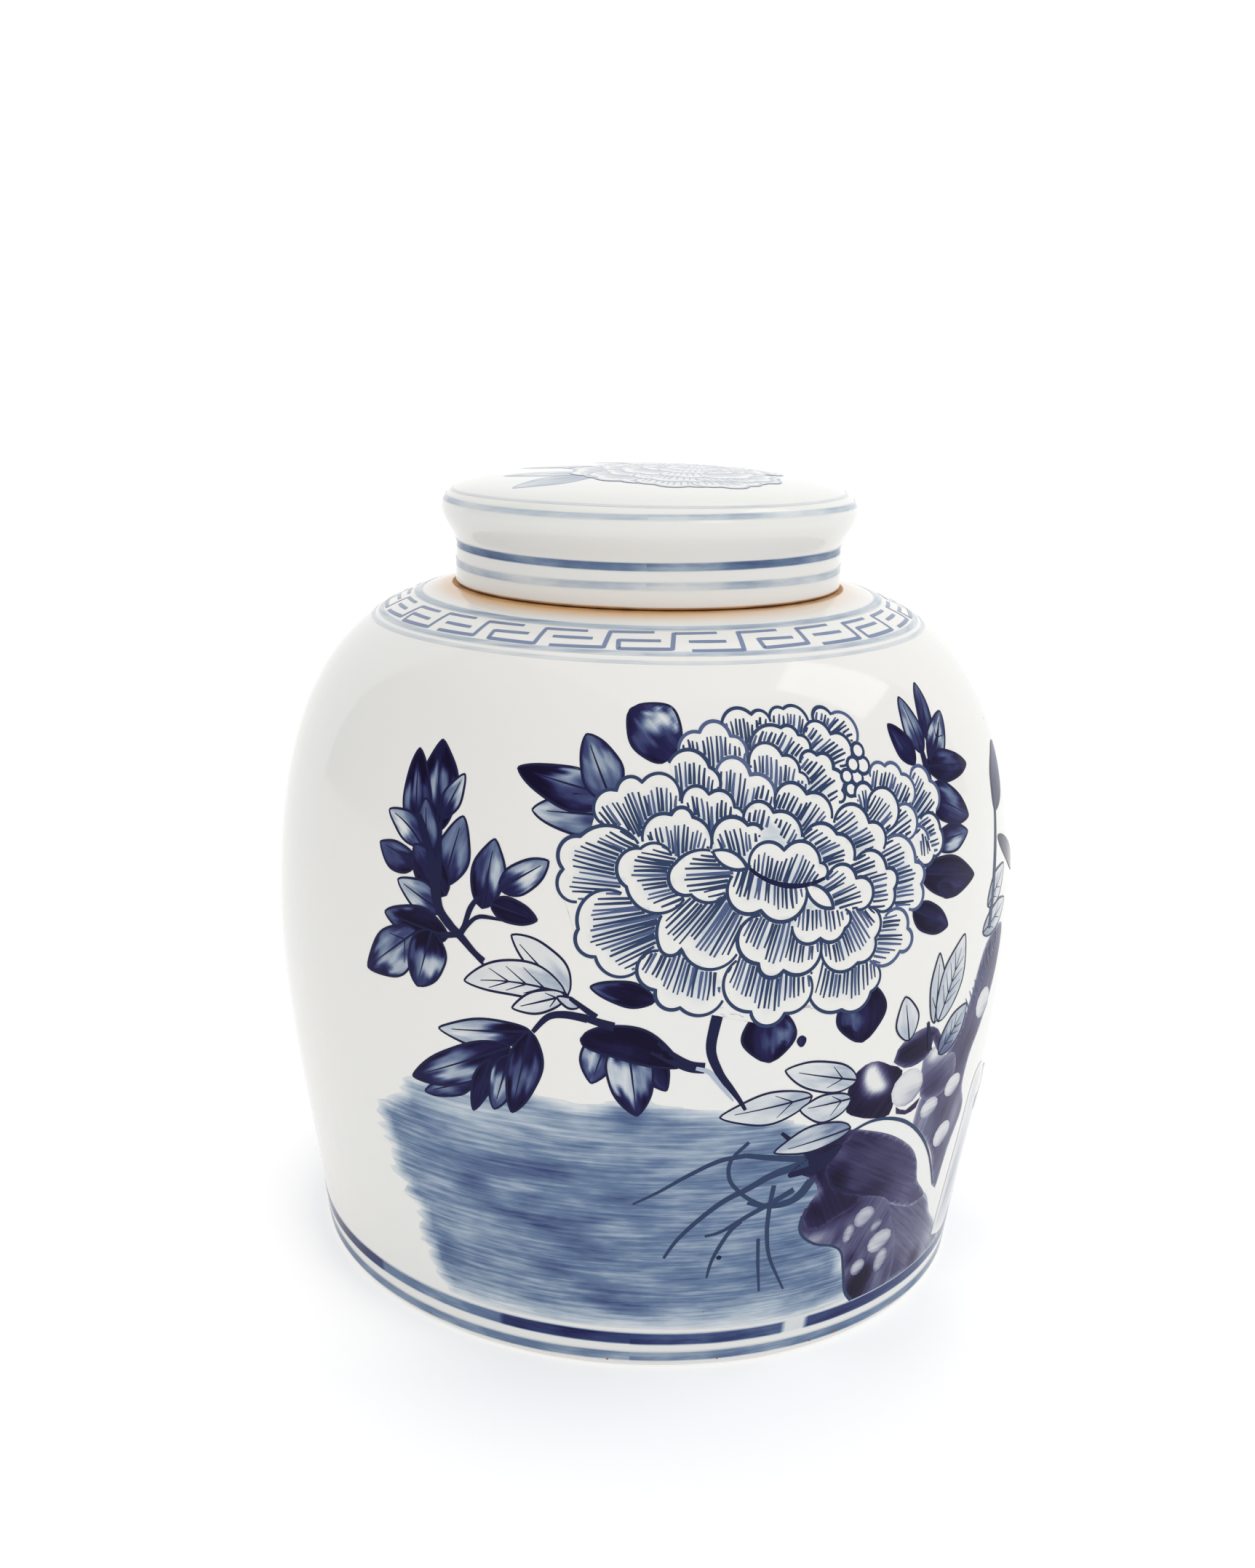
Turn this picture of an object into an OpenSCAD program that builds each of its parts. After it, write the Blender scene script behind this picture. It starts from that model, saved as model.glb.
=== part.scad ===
// Ginger jar: a thrown porcelain jar with a flat drop-on lid.
// The origin is the middle of the foot ring's resting plane, +Z is up.

/* [Jar] */
// Widest diameter of the jar's body
body_d = 200; // [190:1:215]
// Height of the widest point above the table
belly_z = 93; // [80:1:100]
// Diameter of the wall where it meets the table
base_d = 174.4; // [165:0.1:180]
// Thickness of the jar's wall
wall = 6; // [4:0.5:8]
// Thickness of the floor inside the foot ring
floor_t = 7; // [5:0.5:9]

/* [Shoulder and neck] */
// Height of the bare clay seat that the lid rests on
seat_z = 176.6; // [175:0.1:179]
// Outside diameter of the flat seat
seat_d = 105; // [104.5:0.5:108]
// Outside diameter of the neck
neck_d = 92.4; // [90:0.1:92.4]
// Clear diameter of the mouth
mouth_d = 81; // [76:1:82]
// Height of the neck's rim above the table
neck_top_z = 195; // [190:0.5:196]

/* [Foot] */
// Width of the bare ring that the jar stands on
foot_w = 7; // [5:0.5:12]
// Depth of the hollow under the base
foot_h = 4.5; // [3:0.5:6]

/* [Lid] */
// Height of the middle of the lid's top above the table
lid_top_z = 208.5; // [207:0.5:211]
// Widest diameter of the lid's rolled edge
lid_d = 112; // [108:1:116]
// Outside diameter of the lid's skirt
skirt_d = 103.6; // [103:0.1:105]
// Thickness of the lid's skirt
skirt_t = 4.6; // [4:0.1:4.6]
// Gap between the skirt's lower edge and the seat
seat_gap = 0.3; // [0.3:0.05:0.6]

/* [Hidden] */

$fn = 180;

glaze_white = [0.94, 0.94, 0.92];

body_r = body_d / 2;
base_r = base_d / 2;
seat_r = seat_d / 2;
neck_r = neck_d / 2;
mouth_r = mouth_d / 2;
lid_r = lid_d / 2;
skirt_r = skirt_d / 2;
skirt_in_r = skirt_r - skirt_t;

// Radius of the foot's outer edge, of the rim's inner edge and of the skirt's edges
foot_round = 1.5;
rim_round = 3;
skirt_round = 1;
// The rim's outer edge takes the rest of the neck's thickness
rim_outer_round = neck_r - mouth_r - rim_round;
// Slope of the foot's inner side
foot_slope = 1;
// Steps in each long curve and in each small round
curve_steps = 16;
round_steps = 6;

lid_seat_z = seat_z + seat_gap;
// Height at which the lid's rolled edge is widest
roll_z = lid_top_z - 10.7;
// Height of the groove between the rolled edge and the skirt
groove_z = lid_top_z - 21;
// Height of the ceiling inside the lid
ceiling_z = lid_top_z - 7;
// Radius of the hollow between the lid's ceiling and its skirt
cove = 5;
// Half-width of the waist under the rolled edge, drawn in from the skirt
waist_r = skirt_r - 0.2;

// How far each long curve leans or is pulled before it turns
foot_lean = 3.7;
foot_pull = 30;
belly_pull_down = 32;
belly_pull_up = 44.5;
shoulder_in = 11.1;
shoulder_drop = 5.3;
inside_pull = 42;
floor_in = 22;
floor_rise = 1;
inner_shoulder_in = 18;
inner_shoulder_drop = 12;
neck_root = 6;
// The lid's flat middle, and where its dome turns into the rolled edge
dome_flat = 24;
dome_turn = [12, 2.4];
roll_start = [6, 4.6];
roll_crest = [2.2, 5.9];
roll_side = 8.2;
roll_under = 4;
waist_pull = 3.4;
// The skirt's inner wall stays straight until just below the neck's rim
skirt_straight = 2;

// Points of a cubic curve from a to d, pulled towards b and c.
function curve(a, b, c, d, steps = curve_steps) = [
    for (i = [0 : steps])
        let (t = i / steps, s = 1 - t)
            s * s * s * a + 3 * s * s * t * b + 3 * s * t * t * c + t * t * t * d
];

// Points of an arc about a centre [r, z], from one angle to another.
function arc(centre, radius, from, to, steps = round_steps) = [
    for (i = [0 : steps])
        let (a = from + (to - from) * i / steps)
            centre + radius * [cos(a), sin(a)]
];

// The same list read backwards.
function backwards(list) = [for (i = [len(list) - 1 : -1 : 0]) list[i]];

// Outer wall of the jar, from the foot to the belly and on to the seat.
lower_wall = curve(
    [base_r, 0],
    [base_r + foot_lean, foot_pull],
    [body_r, belly_z - belly_pull_down],
    [body_r, belly_z]
);
upper_wall = curve(
    [body_r, belly_z],
    [body_r, belly_z + belly_pull_up],
    [body_r - shoulder_in, seat_z - shoulder_drop],
    [seat_r, seat_z]
);

// Inner wall, from the floor up to the foot of the neck.
inner_lower = curve(
    [base_r - floor_in, foot_h + floor_t],
    [base_r - floor_rise, foot_h + floor_t + floor_rise],
    [body_r - wall, belly_z - inside_pull],
    [body_r - wall, belly_z]
);
inner_upper = curve(
    [body_r - wall, belly_z],
    [body_r - wall, belly_z + inside_pull],
    [body_r - inner_shoulder_in, seat_z - inner_shoulder_drop],
    [seat_r - neck_root, seat_z - wall]
);

inner_rim = arc([mouth_r + rim_round, neck_top_z - rim_round], rim_round, 90, 180);

jar_outline = concat(
    [[0, foot_h], [base_r - foot_w - foot_slope, foot_h], [base_r - foot_w, 0]],
    arc([base_r - foot_round, foot_round], foot_round, -90, -10),
    [for (p = lower_wall) if (p[1] > 2 * foot_round) p],
    [for (i = [1 : curve_steps]) upper_wall[i]],
    [[neck_r, seat_z]],
    arc([neck_r - rim_outer_round, neck_top_z - rim_outer_round], rim_outer_round, 0, 90),
    [for (i = [1 : round_steps]) inner_rim[i]],
    [[mouth_r, seat_z - wall]],
    backwards(inner_upper),
    [for (i = [curve_steps - 1 : -1 : 0]) inner_lower[i]],
    [[0, foot_h + floor_t]]
);

// Lid: a slightly domed top, a rolled edge, a groove and a straight skirt.
lid_dome = curve(
    [0, lid_top_z],
    [dome_flat, lid_top_z],
    [lid_r - dome_turn[0], lid_top_z - dome_turn[1]],
    [lid_r - roll_start[0], lid_top_z - roll_start[1]]
);
lid_roll = curve(
    [lid_r - roll_start[0], lid_top_z - roll_start[1]],
    [lid_r - roll_crest[0], lid_top_z - roll_crest[1]],
    [lid_r, lid_top_z - roll_side],
    [lid_r, roll_z]
);
lid_under_roll = curve(
    [lid_r, roll_z],
    [lid_r, roll_z - roll_under],
    [waist_r, groove_z + waist_pull],
    [waist_r, groove_z]
);

lid_outline = concat(
    lid_dome,
    [for (i = [1 : curve_steps]) lid_roll[i]],
    [for (i = [1 : curve_steps]) lid_under_roll[i]],
    arc([skirt_r - skirt_round, lid_seat_z + skirt_round], skirt_round, 0, -90),
    arc([skirt_in_r + skirt_round, lid_seat_z + skirt_round], skirt_round, -90, -180),
    [[skirt_in_r, neck_top_z - skirt_straight]],
    arc([skirt_in_r - cove, ceiling_z - cove], cove, 0, 90),
    [[0, ceiling_z]]
);

module jar() {
    color(glaze_white)
        rotate_extrude()
            polygon(jar_outline);
}

module lid() {
    color(glaze_white)
        rotate_extrude()
            polygon(lid_outline);
}

jar();
lid();
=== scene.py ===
import math
import random
import bisect

import bmesh
import bpy
import numpy as np
from mathutils import Matrix, Vector


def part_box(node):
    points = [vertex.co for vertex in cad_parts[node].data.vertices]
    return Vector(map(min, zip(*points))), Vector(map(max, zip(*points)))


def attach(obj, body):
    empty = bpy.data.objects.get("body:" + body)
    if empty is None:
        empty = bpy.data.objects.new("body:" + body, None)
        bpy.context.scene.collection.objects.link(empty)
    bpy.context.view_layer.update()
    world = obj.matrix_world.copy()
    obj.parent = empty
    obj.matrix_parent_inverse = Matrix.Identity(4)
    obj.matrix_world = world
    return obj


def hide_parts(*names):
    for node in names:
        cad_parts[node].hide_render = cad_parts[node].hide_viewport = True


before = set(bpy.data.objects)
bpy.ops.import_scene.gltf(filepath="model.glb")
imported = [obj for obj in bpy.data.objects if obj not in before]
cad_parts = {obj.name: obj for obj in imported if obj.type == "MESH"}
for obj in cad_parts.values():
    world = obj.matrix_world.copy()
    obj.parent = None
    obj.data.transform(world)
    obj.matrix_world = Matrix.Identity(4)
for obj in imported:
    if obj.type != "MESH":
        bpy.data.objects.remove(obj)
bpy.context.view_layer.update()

scene = bpy.context.scene
mm = 0.001

jarLow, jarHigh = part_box("jar")
lidLow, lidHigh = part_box("lid")
# the glaze sits this far inside the frame's box, so brushwork has room
paintRoom = 0.25
# widest radius of the jar, rim of its neck, rolled edge of the lid, top of the lid and foot of its skirt
bodyR = (jarHigh[0] - jarLow[0]) / 2 / mm - paintRoom
neckTopZ = jarHigh[2] / mm
lidR = (lidHigh[0] - lidLow[0]) / 2 / mm - paintRoom
lidTopZ = lidHigh[2] / mm - paintRoom
lidFootZ = lidLow[2] / mm

# outlines, in millimetres


def bezier(a, b, c, d, steps):
    out = []
    for i in range(steps + 1):
        t = i / steps
        s = 1 - t
        shares = (s ** 3, 3 * s * s * t, 3 * s * t * t, t ** 3)
        out.append(tuple(sum(share * point[k] for share, point in zip(shares, (a, b, c, d))) for k in (0, 1)))
    return out


def arc(centre, radius, start, end, steps=8):
    out = []
    for i in range(steps + 1):
        angle = math.radians(start + (end - start) * i / steps)
        out.append((centre[0] + radius * math.cos(angle), centre[1] + radius * math.sin(angle)))
    return out


jarShape = {
    "baseR": 87.2,        # where the wall meets the table
    "bellyZ": 93,         # height of the widest point
    "seatZ": 176.6,       # bare clay seat under the lid
    "seatR": 52.5,
    "neckR": 46.2,
    "mouthR": 40.5,
    "rim": 3,             # round on the inside of the rim
    "wall": 6,
    "footWidth": 7,
    "footHollow": 4.5,
    "floor": 7,
    # how far each long curve leans or is pulled before it turns, across and up
    "foot": (3.7, 30),
    "bellyBelow": 32,
    "bellyAbove": 44.5,
    "shoulder": (11.1, 5.3),
    "inside": 42,
    "innerFloor": (22, 1),
    "innerShoulder": (18, 12),
    "spinSteps": 288,
}

lidShape = {
    "skirtR": 51.8,
    "skirt": 4.6,         # thickness of the skirt
    "rollDrop": 10.7,     # from the top down to the widest point
    "grooveDrop": 21,     # from the top down to the groove
    "ceilingDrop": 7,
    # points of the dome and the roll: in from the edge, and down from the top
    "domeFlat": 24,
    "domeTurn": (12, 2.4),
    "rollStart": (6, 4.6),
    "rollCrest": (2.2, 5.9),
    "rollSide": 8.2,
    "rollUnder": 4,
    "waist": (0.2, 3.4),
    "cove": 5,
    "spinSteps": 224,
}


def jarWall():
    v = jarShape
    lean, pull = v["foot"]
    inward, drop = v["shoulder"]
    lower = bezier(
        (v["baseR"], 0),
        (v["baseR"] + lean, pull),
        (bodyR, v["bellyZ"] - v["bellyBelow"]),
        (bodyR, v["bellyZ"]),
        60,
    )
    upper = bezier(
        (bodyR, v["bellyZ"]),
        (bodyR, v["bellyZ"] + v["bellyAbove"]),
        (bodyR - inward, v["seatZ"] - drop),
        (v["seatR"], v["seatZ"]),
        70,
    )
    return lower, upper


def jarOutline():
    v = jarShape
    lower, upper = jarWall()
    hollow = v["footHollow"]
    floorZ = hollow + v["floor"]
    insideR = bodyR - v["wall"]
    floorIn, floorRise = v["innerFloor"]
    inward, drop = v["innerShoulder"]
    inLow = bezier(
        (v["baseR"] - floorIn, floorZ),
        (v["baseR"] - floorRise, floorZ + floorRise),
        (insideR, v["bellyZ"] - v["inside"]),
        (insideR, v["bellyZ"]),
        24,
    )
    inUp = bezier(
        (insideR, v["bellyZ"]),
        (insideR, v["bellyZ"] + v["inside"]),
        (bodyR - inward, v["seatZ"] - drop),
        (v["seatR"] - v["wall"], v["seatZ"] - v["wall"]),
        24,
    )
    innerFoot = v["baseR"] - v["footWidth"]
    out = [(0, hollow), (innerFoot - 3, hollow)]
    out += arc((innerFoot - 1.6, hollow - 1.6), 1.6, 90, 0, 5)
    out += arc((innerFoot + 0.8, 0.8), 0.8, 180, 270, 5)
    out += arc((v["baseR"] - 1.5, 1.5), 1.5, -90, -8, 8)
    out += [p for p in lower if p[1] > 2.2]
    out += upper[1:]
    out += [(v["neckR"] + 1.4, v["seatZ"])]
    out += arc((v["neckR"] + 0.9, v["seatZ"] + 0.9), 0.9, -90, -180, 5)
    outer = v["neckR"] - v["mouthR"] - v["rim"]
    out += arc((v["neckR"] - outer, neckTopZ - outer), outer, 0, 90, 8)
    out += arc((v["mouthR"] + v["rim"], neckTopZ - v["rim"]), v["rim"], 90, 180, 8)[1:]
    out += arc((v["mouthR"] + 2, v["seatZ"] - 4), 2, 180, 260, 6)
    out += inUp[::-1][1:]
    out += inLow[::-1][1:]
    out += [(0, floorZ)]
    return out


def lidTopCurve():
    v = lidShape
    turn, start, crest = [(lidR - v[k][0], lidTopZ - v[k][1]) for k in ("domeTurn", "rollStart", "rollCrest")]
    dome = bezier((0, lidTopZ), (v["domeFlat"], lidTopZ), turn, start, 26)
    roll = bezier(start, crest, (lidR, lidTopZ - v["rollSide"]), (lidR, lidTopZ - v["rollDrop"]), 18)
    return dome + roll[1:]


def lidSkirtCurve():
    v = lidShape
    rollZ = lidTopZ - v["rollDrop"]
    grooveZ = lidTopZ - v["grooveDrop"]
    inward, pull = v["waist"]
    waistR = v["skirtR"] - inward
    skirtR = v["skirtR"]
    under = bezier(
        (lidR, rollZ), (lidR, rollZ - v["rollUnder"]), (waistR, grooveZ + pull), (waistR, grooveZ), 20
    )
    return under + [(skirtR - 0.05, grooveZ - 3), (skirtR, grooveZ - 6), (skirtR, lidFootZ + 1)]


def lidOutline():
    v = lidShape
    ceilingZ = lidTopZ - v["ceilingDrop"]
    inR = v["skirtR"] - v["skirt"]
    out = lidTopCurve() + lidSkirtCurve()[1:-1]
    out += arc((v["skirtR"] - 1, lidFootZ + 1), 1, 0, -90, 6)
    out += arc((inR + 1, lidFootZ + 1), 1, -90, -180, 6)
    out += [(inR, lidFootZ + 9)]
    out += arc((inR - v["cove"], ceilingZ - v["cove"]), v["cove"], 0, 90, 8)
    out += [(0, ceilingZ)]
    return out


# places on the glaze
# The wall is unrolled: a is the distance round the widest circle from the front, in
# millimetres, towards the right, and b is the distance up the wall from the table.


def tabulate(points, side=1):
    # each row holds the run along the curve, the radius, the height and the way the surface faces
    rows = []
    run = 0.0
    for i, (r, z) in enumerate(points):
        before = points[max(i - 1, 0)]
        after = points[min(i + 1, len(points) - 1)]
        dr = after[0] - before[0]
        dz = after[1] - before[1]
        size = math.hypot(dr, dz)
        if i:
            run += math.hypot(r - points[i - 1][0], z - points[i - 1][1])
        rows.append((run, r, z, side * dz / size, -side * dr / size))
    return rows


wallLower, wallUpper = jarWall()
wallRows = tabulate(wallLower + wallUpper[1:])
wallRuns = [row[0] for row in wallRows]
lidRows = tabulate(lidTopCurve() + lidSkirtCurve()[1:], -1)
lidRuns = [row[0] for row in lidRows]
lidTopCount = len(lidTopCurve())
lidTopRows = lidRows[:lidTopCount]
lidRadii = [row[1] for row in lidTopRows]


def between(rows, keys, value):
    i = min(max(bisect.bisect_left(keys, value), 1), len(rows) - 1)
    low, high = rows[i - 1], rows[i]
    t = (value - keys[i - 1]) / max(keys[i] - keys[i - 1], 1e-9)
    return [p + (q - p) * t for p, q in zip(low, high)]


def onWall(a, b, lift):
    run, r, z, nr, nz = between(wallRows, wallRuns, b)
    turn = a / bodyR
    normal = Vector((nr * math.sin(turn), -nr * math.cos(turn), nz)).normalized()
    place = Vector((r * math.sin(turn), -r * math.cos(turn), z))
    return (place + normal * lift) * mm, normal


def wallStretch(b):
    return between(wallRows, wallRuns, b)[1] / bodyR


def onLid(a, b, lift):
    # the top of the lid, straight down from above: a to the right, b towards the back
    r = math.hypot(a, b)
    row = between(lidTopRows, lidRadii, r)
    flat = Vector((a, b, 0)) / max(r, 0.001)
    normal = (flat * row[3] + Vector((0, 0, row[4]))).normalized()
    place = Vector((a, b, row[2]))
    return (place + normal * lift) * mm, normal


def noStretch(b):
    return 1.0


# node helpers


def newGroup(name, inputs, outputs):
    group = bpy.data.node_groups.new(name, "ShaderNodeTree")
    for label, kind, value in inputs:
        socket = group.interface.new_socket(label, in_out="INPUT", socket_type=kind)
        if value is not None:
            socket.default_value = value
    for label, kind in outputs:
        group.interface.new_socket(label, in_out="OUTPUT", socket_type=kind)
    return group, group.nodes.new("NodeGroupInput"), group.nodes.new("NodeGroupOutput")


def addNode(tree, kind, **values):
    node = tree.nodes.new(kind)
    for key, value in values.items():
        if key.startswith("in_"):
            slot = key[3:]
            node.inputs[int(slot) if slot.isdigit() else slot.replace("_", " ")].default_value = value
        else:
            setattr(node, key, value)
    return node


def addRamp(tree, stops):
    node = tree.nodes.new("ShaderNodeValToRGB")
    while len(node.color_ramp.elements) < len(stops):
        node.color_ramp.elements.new(0.5)
    for element, (place, colour) in zip(node.color_ramp.elements, stops):
        element.position = place
        element.color = (*colour, 1) if len(colour) == 3 else colour
    return node


def mathNode(tree, operation, first, second=None, clamp=False):
    node = addNode(tree, "ShaderNodeMath", operation=operation, use_clamp=clamp)
    for i, value in enumerate((first, second)):
        if value is None:
            continue
        if isinstance(value, (int, float)):
            node.inputs[i].default_value = value
        else:
            tree.links.new(value, node.inputs[i])
    return node.outputs[0]


def stepNode(tree, value, low, high, outLow=0.0, outHigh=1.0):
    node = addNode(tree, "ShaderNodeMapRange", interpolation_type="SMOOTHSTEP")
    tree.links.new(value, node.inputs["Value"])
    node.inputs["From Min"].default_value = low
    node.inputs["From Max"].default_value = high
    node.inputs["To Min"].default_value = outLow
    node.inputs["To Max"].default_value = outHigh
    return node.outputs[0]


# shared effects

glazeLook = {
    "white": (0.775, 0.765, 0.735),
    "cool": (0.755, 0.760, 0.745),
    "roughness": 0.085,
    "ior": 1.5,
    "shine": 0.42,
    "paintShine": 0.08,
    "ripple": 0.05,
}


def makeGlazeGroup():
    # white porcelain under clear glaze: a cool and a warm white drift into each other, with pin specks
    group, gin, gout = newGroup(
        "whiteGlaze",
        [("Object", "NodeSocketVector", None)],
        [("Color", "NodeSocketColor"), ("Roughness", "NodeSocketFloat"), ("Height", "NodeSocketFloat")],
    )
    links = group.links
    drift = addNode(group, "ShaderNodeTexNoise", in_Scale=9.0, in_Detail=2.0)
    links.new(gin.outputs["Object"], drift.inputs["Vector"])
    ramp = addRamp(group, [(0.35, glazeLook["white"]), (0.7, glazeLook["cool"])])
    links.new(drift.outputs["Fac"], ramp.inputs["Fac"])
    pins = addNode(group, "ShaderNodeTexVoronoi", in_Scale=85.0, in_Randomness=1.0)
    links.new(gin.outputs["Object"], pins.inputs["Vector"])
    dot = stepNode(group, pins.outputs["Distance"], 0.035, 0.06, 1.0, 0.0)
    rare = addNode(group, "ShaderNodeTexNoise", in_Scale=37.0, in_Detail=0.0)
    links.new(gin.outputs["Object"], rare.inputs["Vector"])
    chosen = stepNode(group, rare.outputs["Fac"], 0.66, 0.7)
    speck = mathNode(group, "MULTIPLY", mathNode(group, "MULTIPLY", dot, chosen), 0.45)
    mix = addNode(group, "ShaderNodeMix", data_type="RGBA", blend_type="MIX")
    mix.inputs["B"].default_value = (0.30, 0.25, 0.2, 1)
    links.new(speck, mix.inputs["Factor"])
    links.new(ramp.outputs["Color"], mix.inputs["A"])
    links.new(mix.outputs["Result"], gout.inputs["Color"])
    smear = addNode(group, "ShaderNodeTexNoise", in_Scale=30.0, in_Detail=3.0)
    links.new(gin.outputs["Object"], smear.inputs["Vector"])
    rough = glazeLook["roughness"]
    polish = stepNode(group, smear.outputs["Fac"], 0.3, 0.75, rough * 0.8, rough * 1.5)
    links.new(polish, gout.inputs["Roughness"])
    peel = addNode(group, "ShaderNodeTexNoise", in_Scale=55.0, in_Detail=1.0)
    links.new(gin.outputs["Object"], peel.inputs["Vector"])
    wide = addNode(group, "ShaderNodeTexNoise", in_Scale=14.0, in_Detail=0.0)
    links.new(gin.outputs["Object"], wide.inputs["Vector"])
    swell = mathNode(group, "MULTIPLY", wide.outputs["Fac"], 2.2)
    links.new(mathNode(group, "ADD", swell, peel.outputs["Fac"]), gout.inputs["Height"])
    return group


cobaltStops = [
    (0.0, (1, 1, 1)),
    (0.12, (0.80, 0.85, 0.91)),
    (0.26, (0.50, 0.60, 0.73)),
    (0.45, (0.17, 0.26, 0.43)),
    (0.64, (0.052, 0.080, 0.23)),
    (0.82, (0.016, 0.016, 0.095)),
    (1.0, (0.006, 0.003, 0.030)),
]

# where the ore ran warm the same wash turns plum and grey
plumStops = [
    (0.0, (1, 1, 1)),
    (0.12, (0.82, 0.82, 0.87)),
    (0.26, (0.54, 0.54, 0.63)),
    (0.45, (0.22, 0.21, 0.34)),
    (0.64, (0.080, 0.066, 0.165)),
    (0.82, (0.026, 0.016, 0.07)),
    (1.0, (0.008, 0.004, 0.024)),
]


def makeCobaltGroup():
    # cobalt under the glaze as a filter over the white: tone 0 leaves the white, tone 1 is nearly black
    group, gin, gout = newGroup(
        "cobaltWash",
        [
            ("White", "NodeSocketColor", (0.8, 0.8, 0.77, 1)),
            ("Tone", "NodeSocketFloat", 0.5),
            ("Brush", "NodeSocketVector", None),
            ("Streak", "NodeSocketFloat", 0.3),
            ("Mottle", "NodeSocketFloat", 0.1),
            ("Plum", "NodeSocketFloat", 0.1),
        ],
        [("Color", "NodeSocketColor")],
    )
    links = group.links
    # brush hairs: noise drawn out along the stroke
    hair = addNode(group, "ShaderNodeMapping")
    hair.inputs["Scale"].default_value = (0.045, 1.0, 1.0)
    links.new(gin.outputs["Brush"], hair.inputs["Vector"])
    hairs = addNode(group, "ShaderNodeTexNoise", in_Scale=1.15, in_Detail=3.0, in_Roughness=0.6)
    links.new(hair.outputs["Vector"], hairs.inputs["Vector"])
    basin = addNode(group, "ShaderNodeMapping")
    basin.inputs["Scale"].default_value = (0.3, 1.0, 1.0)
    links.new(gin.outputs["Brush"], basin.inputs["Vector"])
    pool = addNode(group, "ShaderNodeTexNoise", in_Scale=0.22, in_Detail=3.0, in_Roughness=0.55)
    links.new(basin.outputs["Vector"], pool.inputs["Vector"])
    hairPart = mathNode(
        group, "MULTIPLY", mathNode(group, "SUBTRACT", hairs.outputs["Fac"], 0.5), gin.outputs["Streak"]
    )
    poolPart = mathNode(
        group, "MULTIPLY", mathNode(group, "SUBTRACT", pool.outputs["Fac"], 0.5), gin.outputs["Mottle"]
    )
    # white stays white, so the swing grows with the tone
    grip = stepNode(group, gin.outputs["Tone"], 0.0, 0.22)
    swing = mathNode(group, "MULTIPLY", mathNode(group, "ADD", hairPart, poolPart), grip)
    tone = mathNode(group, "ADD", gin.outputs["Tone"], swing, clamp=True)
    blue = addRamp(group, cobaltStops)
    plum = addRamp(group, plumStops)
    links.new(tone, blue.inputs["Fac"])
    links.new(tone, plum.inputs["Fac"])
    ink = addNode(group, "ShaderNodeMix", data_type="RGBA", blend_type="MIX")
    links.new(gin.outputs["Plum"], ink.inputs["Factor"])
    links.new(blue.outputs["Color"], ink.inputs["A"])
    links.new(plum.outputs["Color"], ink.inputs["B"])
    mix = addNode(group, "ShaderNodeMix", data_type="RGBA", blend_type="MULTIPLY")
    mix.inputs["Factor"].default_value = 1.0
    links.new(gin.outputs["White"], mix.inputs["A"])
    links.new(ink.outputs["Result"], mix.inputs["B"])
    links.new(mix.outputs["Result"], gout.inputs["Color"])
    return group


glazeGroup = makeGlazeGroup()
cobaltGroup = makeCobaltGroup()


def newMaterial(name):
    material = bpy.data.materials.new(name)
    material.use_nodes = True
    tree = material.node_tree
    shader = tree.nodes["Principled BSDF"]
    shader.inputs["IOR"].default_value = glazeLook["ior"]
    shader.inputs["Specular IOR Level"].default_value = glazeLook["shine"]
    coord = tree.nodes.new("ShaderNodeTexCoord")
    glaze = tree.nodes.new("ShaderNodeGroup")
    glaze.node_tree = glazeGroup
    tree.links.new(coord.outputs["Object"], glaze.inputs["Object"])
    bump = addNode(tree, "ShaderNodeBump", in_Strength=glazeLook["ripple"], in_Distance=0.0004)
    tree.links.new(glaze.outputs["Height"], bump.inputs["Height"])
    tree.links.new(bump.outputs["Normal"], shader.inputs["Normal"])
    return material, tree, shader, coord, glaze


def linePaint(name, colour):
    # one strength of ink for fine lines
    material, tree, shader, coord, glaze = newMaterial(name)
    shader.inputs["Base Color"].default_value = (*colour, 1)
    shader.inputs["Specular IOR Level"].default_value = glazeLook["paintShine"]
    tree.links.new(glaze.outputs["Roughness"], shader.inputs["Roughness"])
    return material


def washPaint(name, streak, mottle, plum):
    # brushed cobalt whose strength is the mesh's own tone
    material, tree, shader, coord, glaze = newMaterial(name)
    tone = addNode(tree, "ShaderNodeAttribute", attribute_name="tone")
    brush = addNode(tree, "ShaderNodeUVMap", uv_map="brush")
    wash = tree.nodes.new("ShaderNodeGroup")
    wash.node_tree = cobaltGroup
    wash.inputs["Streak"].default_value = streak
    wash.inputs["Mottle"].default_value = mottle
    wash.inputs["Plum"].default_value = plum
    shader.inputs["Specular IOR Level"].default_value = glazeLook["paintShine"]
    tree.links.new(glaze.outputs["Color"], wash.inputs["White"])
    tree.links.new(tone.outputs["Fac"], wash.inputs["Tone"])
    tree.links.new(brush.outputs["UV"], wash.inputs["Brush"])
    tree.links.new(wash.outputs["Color"], shader.inputs["Base Color"])
    tree.links.new(glaze.outputs["Roughness"], shader.inputs["Roughness"])
    return material


inkDeep = linePaint("inkDeep", (0.012, 0.014, 0.052))
inkDark = linePaint("inkDark", (0.030, 0.050, 0.115))
inkMid = linePaint("inkMid", (0.075, 0.105, 0.215))
inkSoft = linePaint("inkSoft", (0.20, 0.25, 0.38))
inkPale = linePaint("inkPale", (0.40, 0.46, 0.57))
inks = [inkDeep, inkDark, inkMid, inkSoft, inkPale]
leafWash = washPaint("leafWash", 0.14, 0.62, 0.28)
waterWash = washPaint("waterWash", 0.46, 0.42, 0.05)
rockWash = washPaint("rockWash", 0.26, 0.26, 0.8)
petalWash = washPaint("petalWash", 0.12, 0.08, 0.1)
ringWash = washPaint("ringWash", 0.16, 0.44, 0.1)


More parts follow.
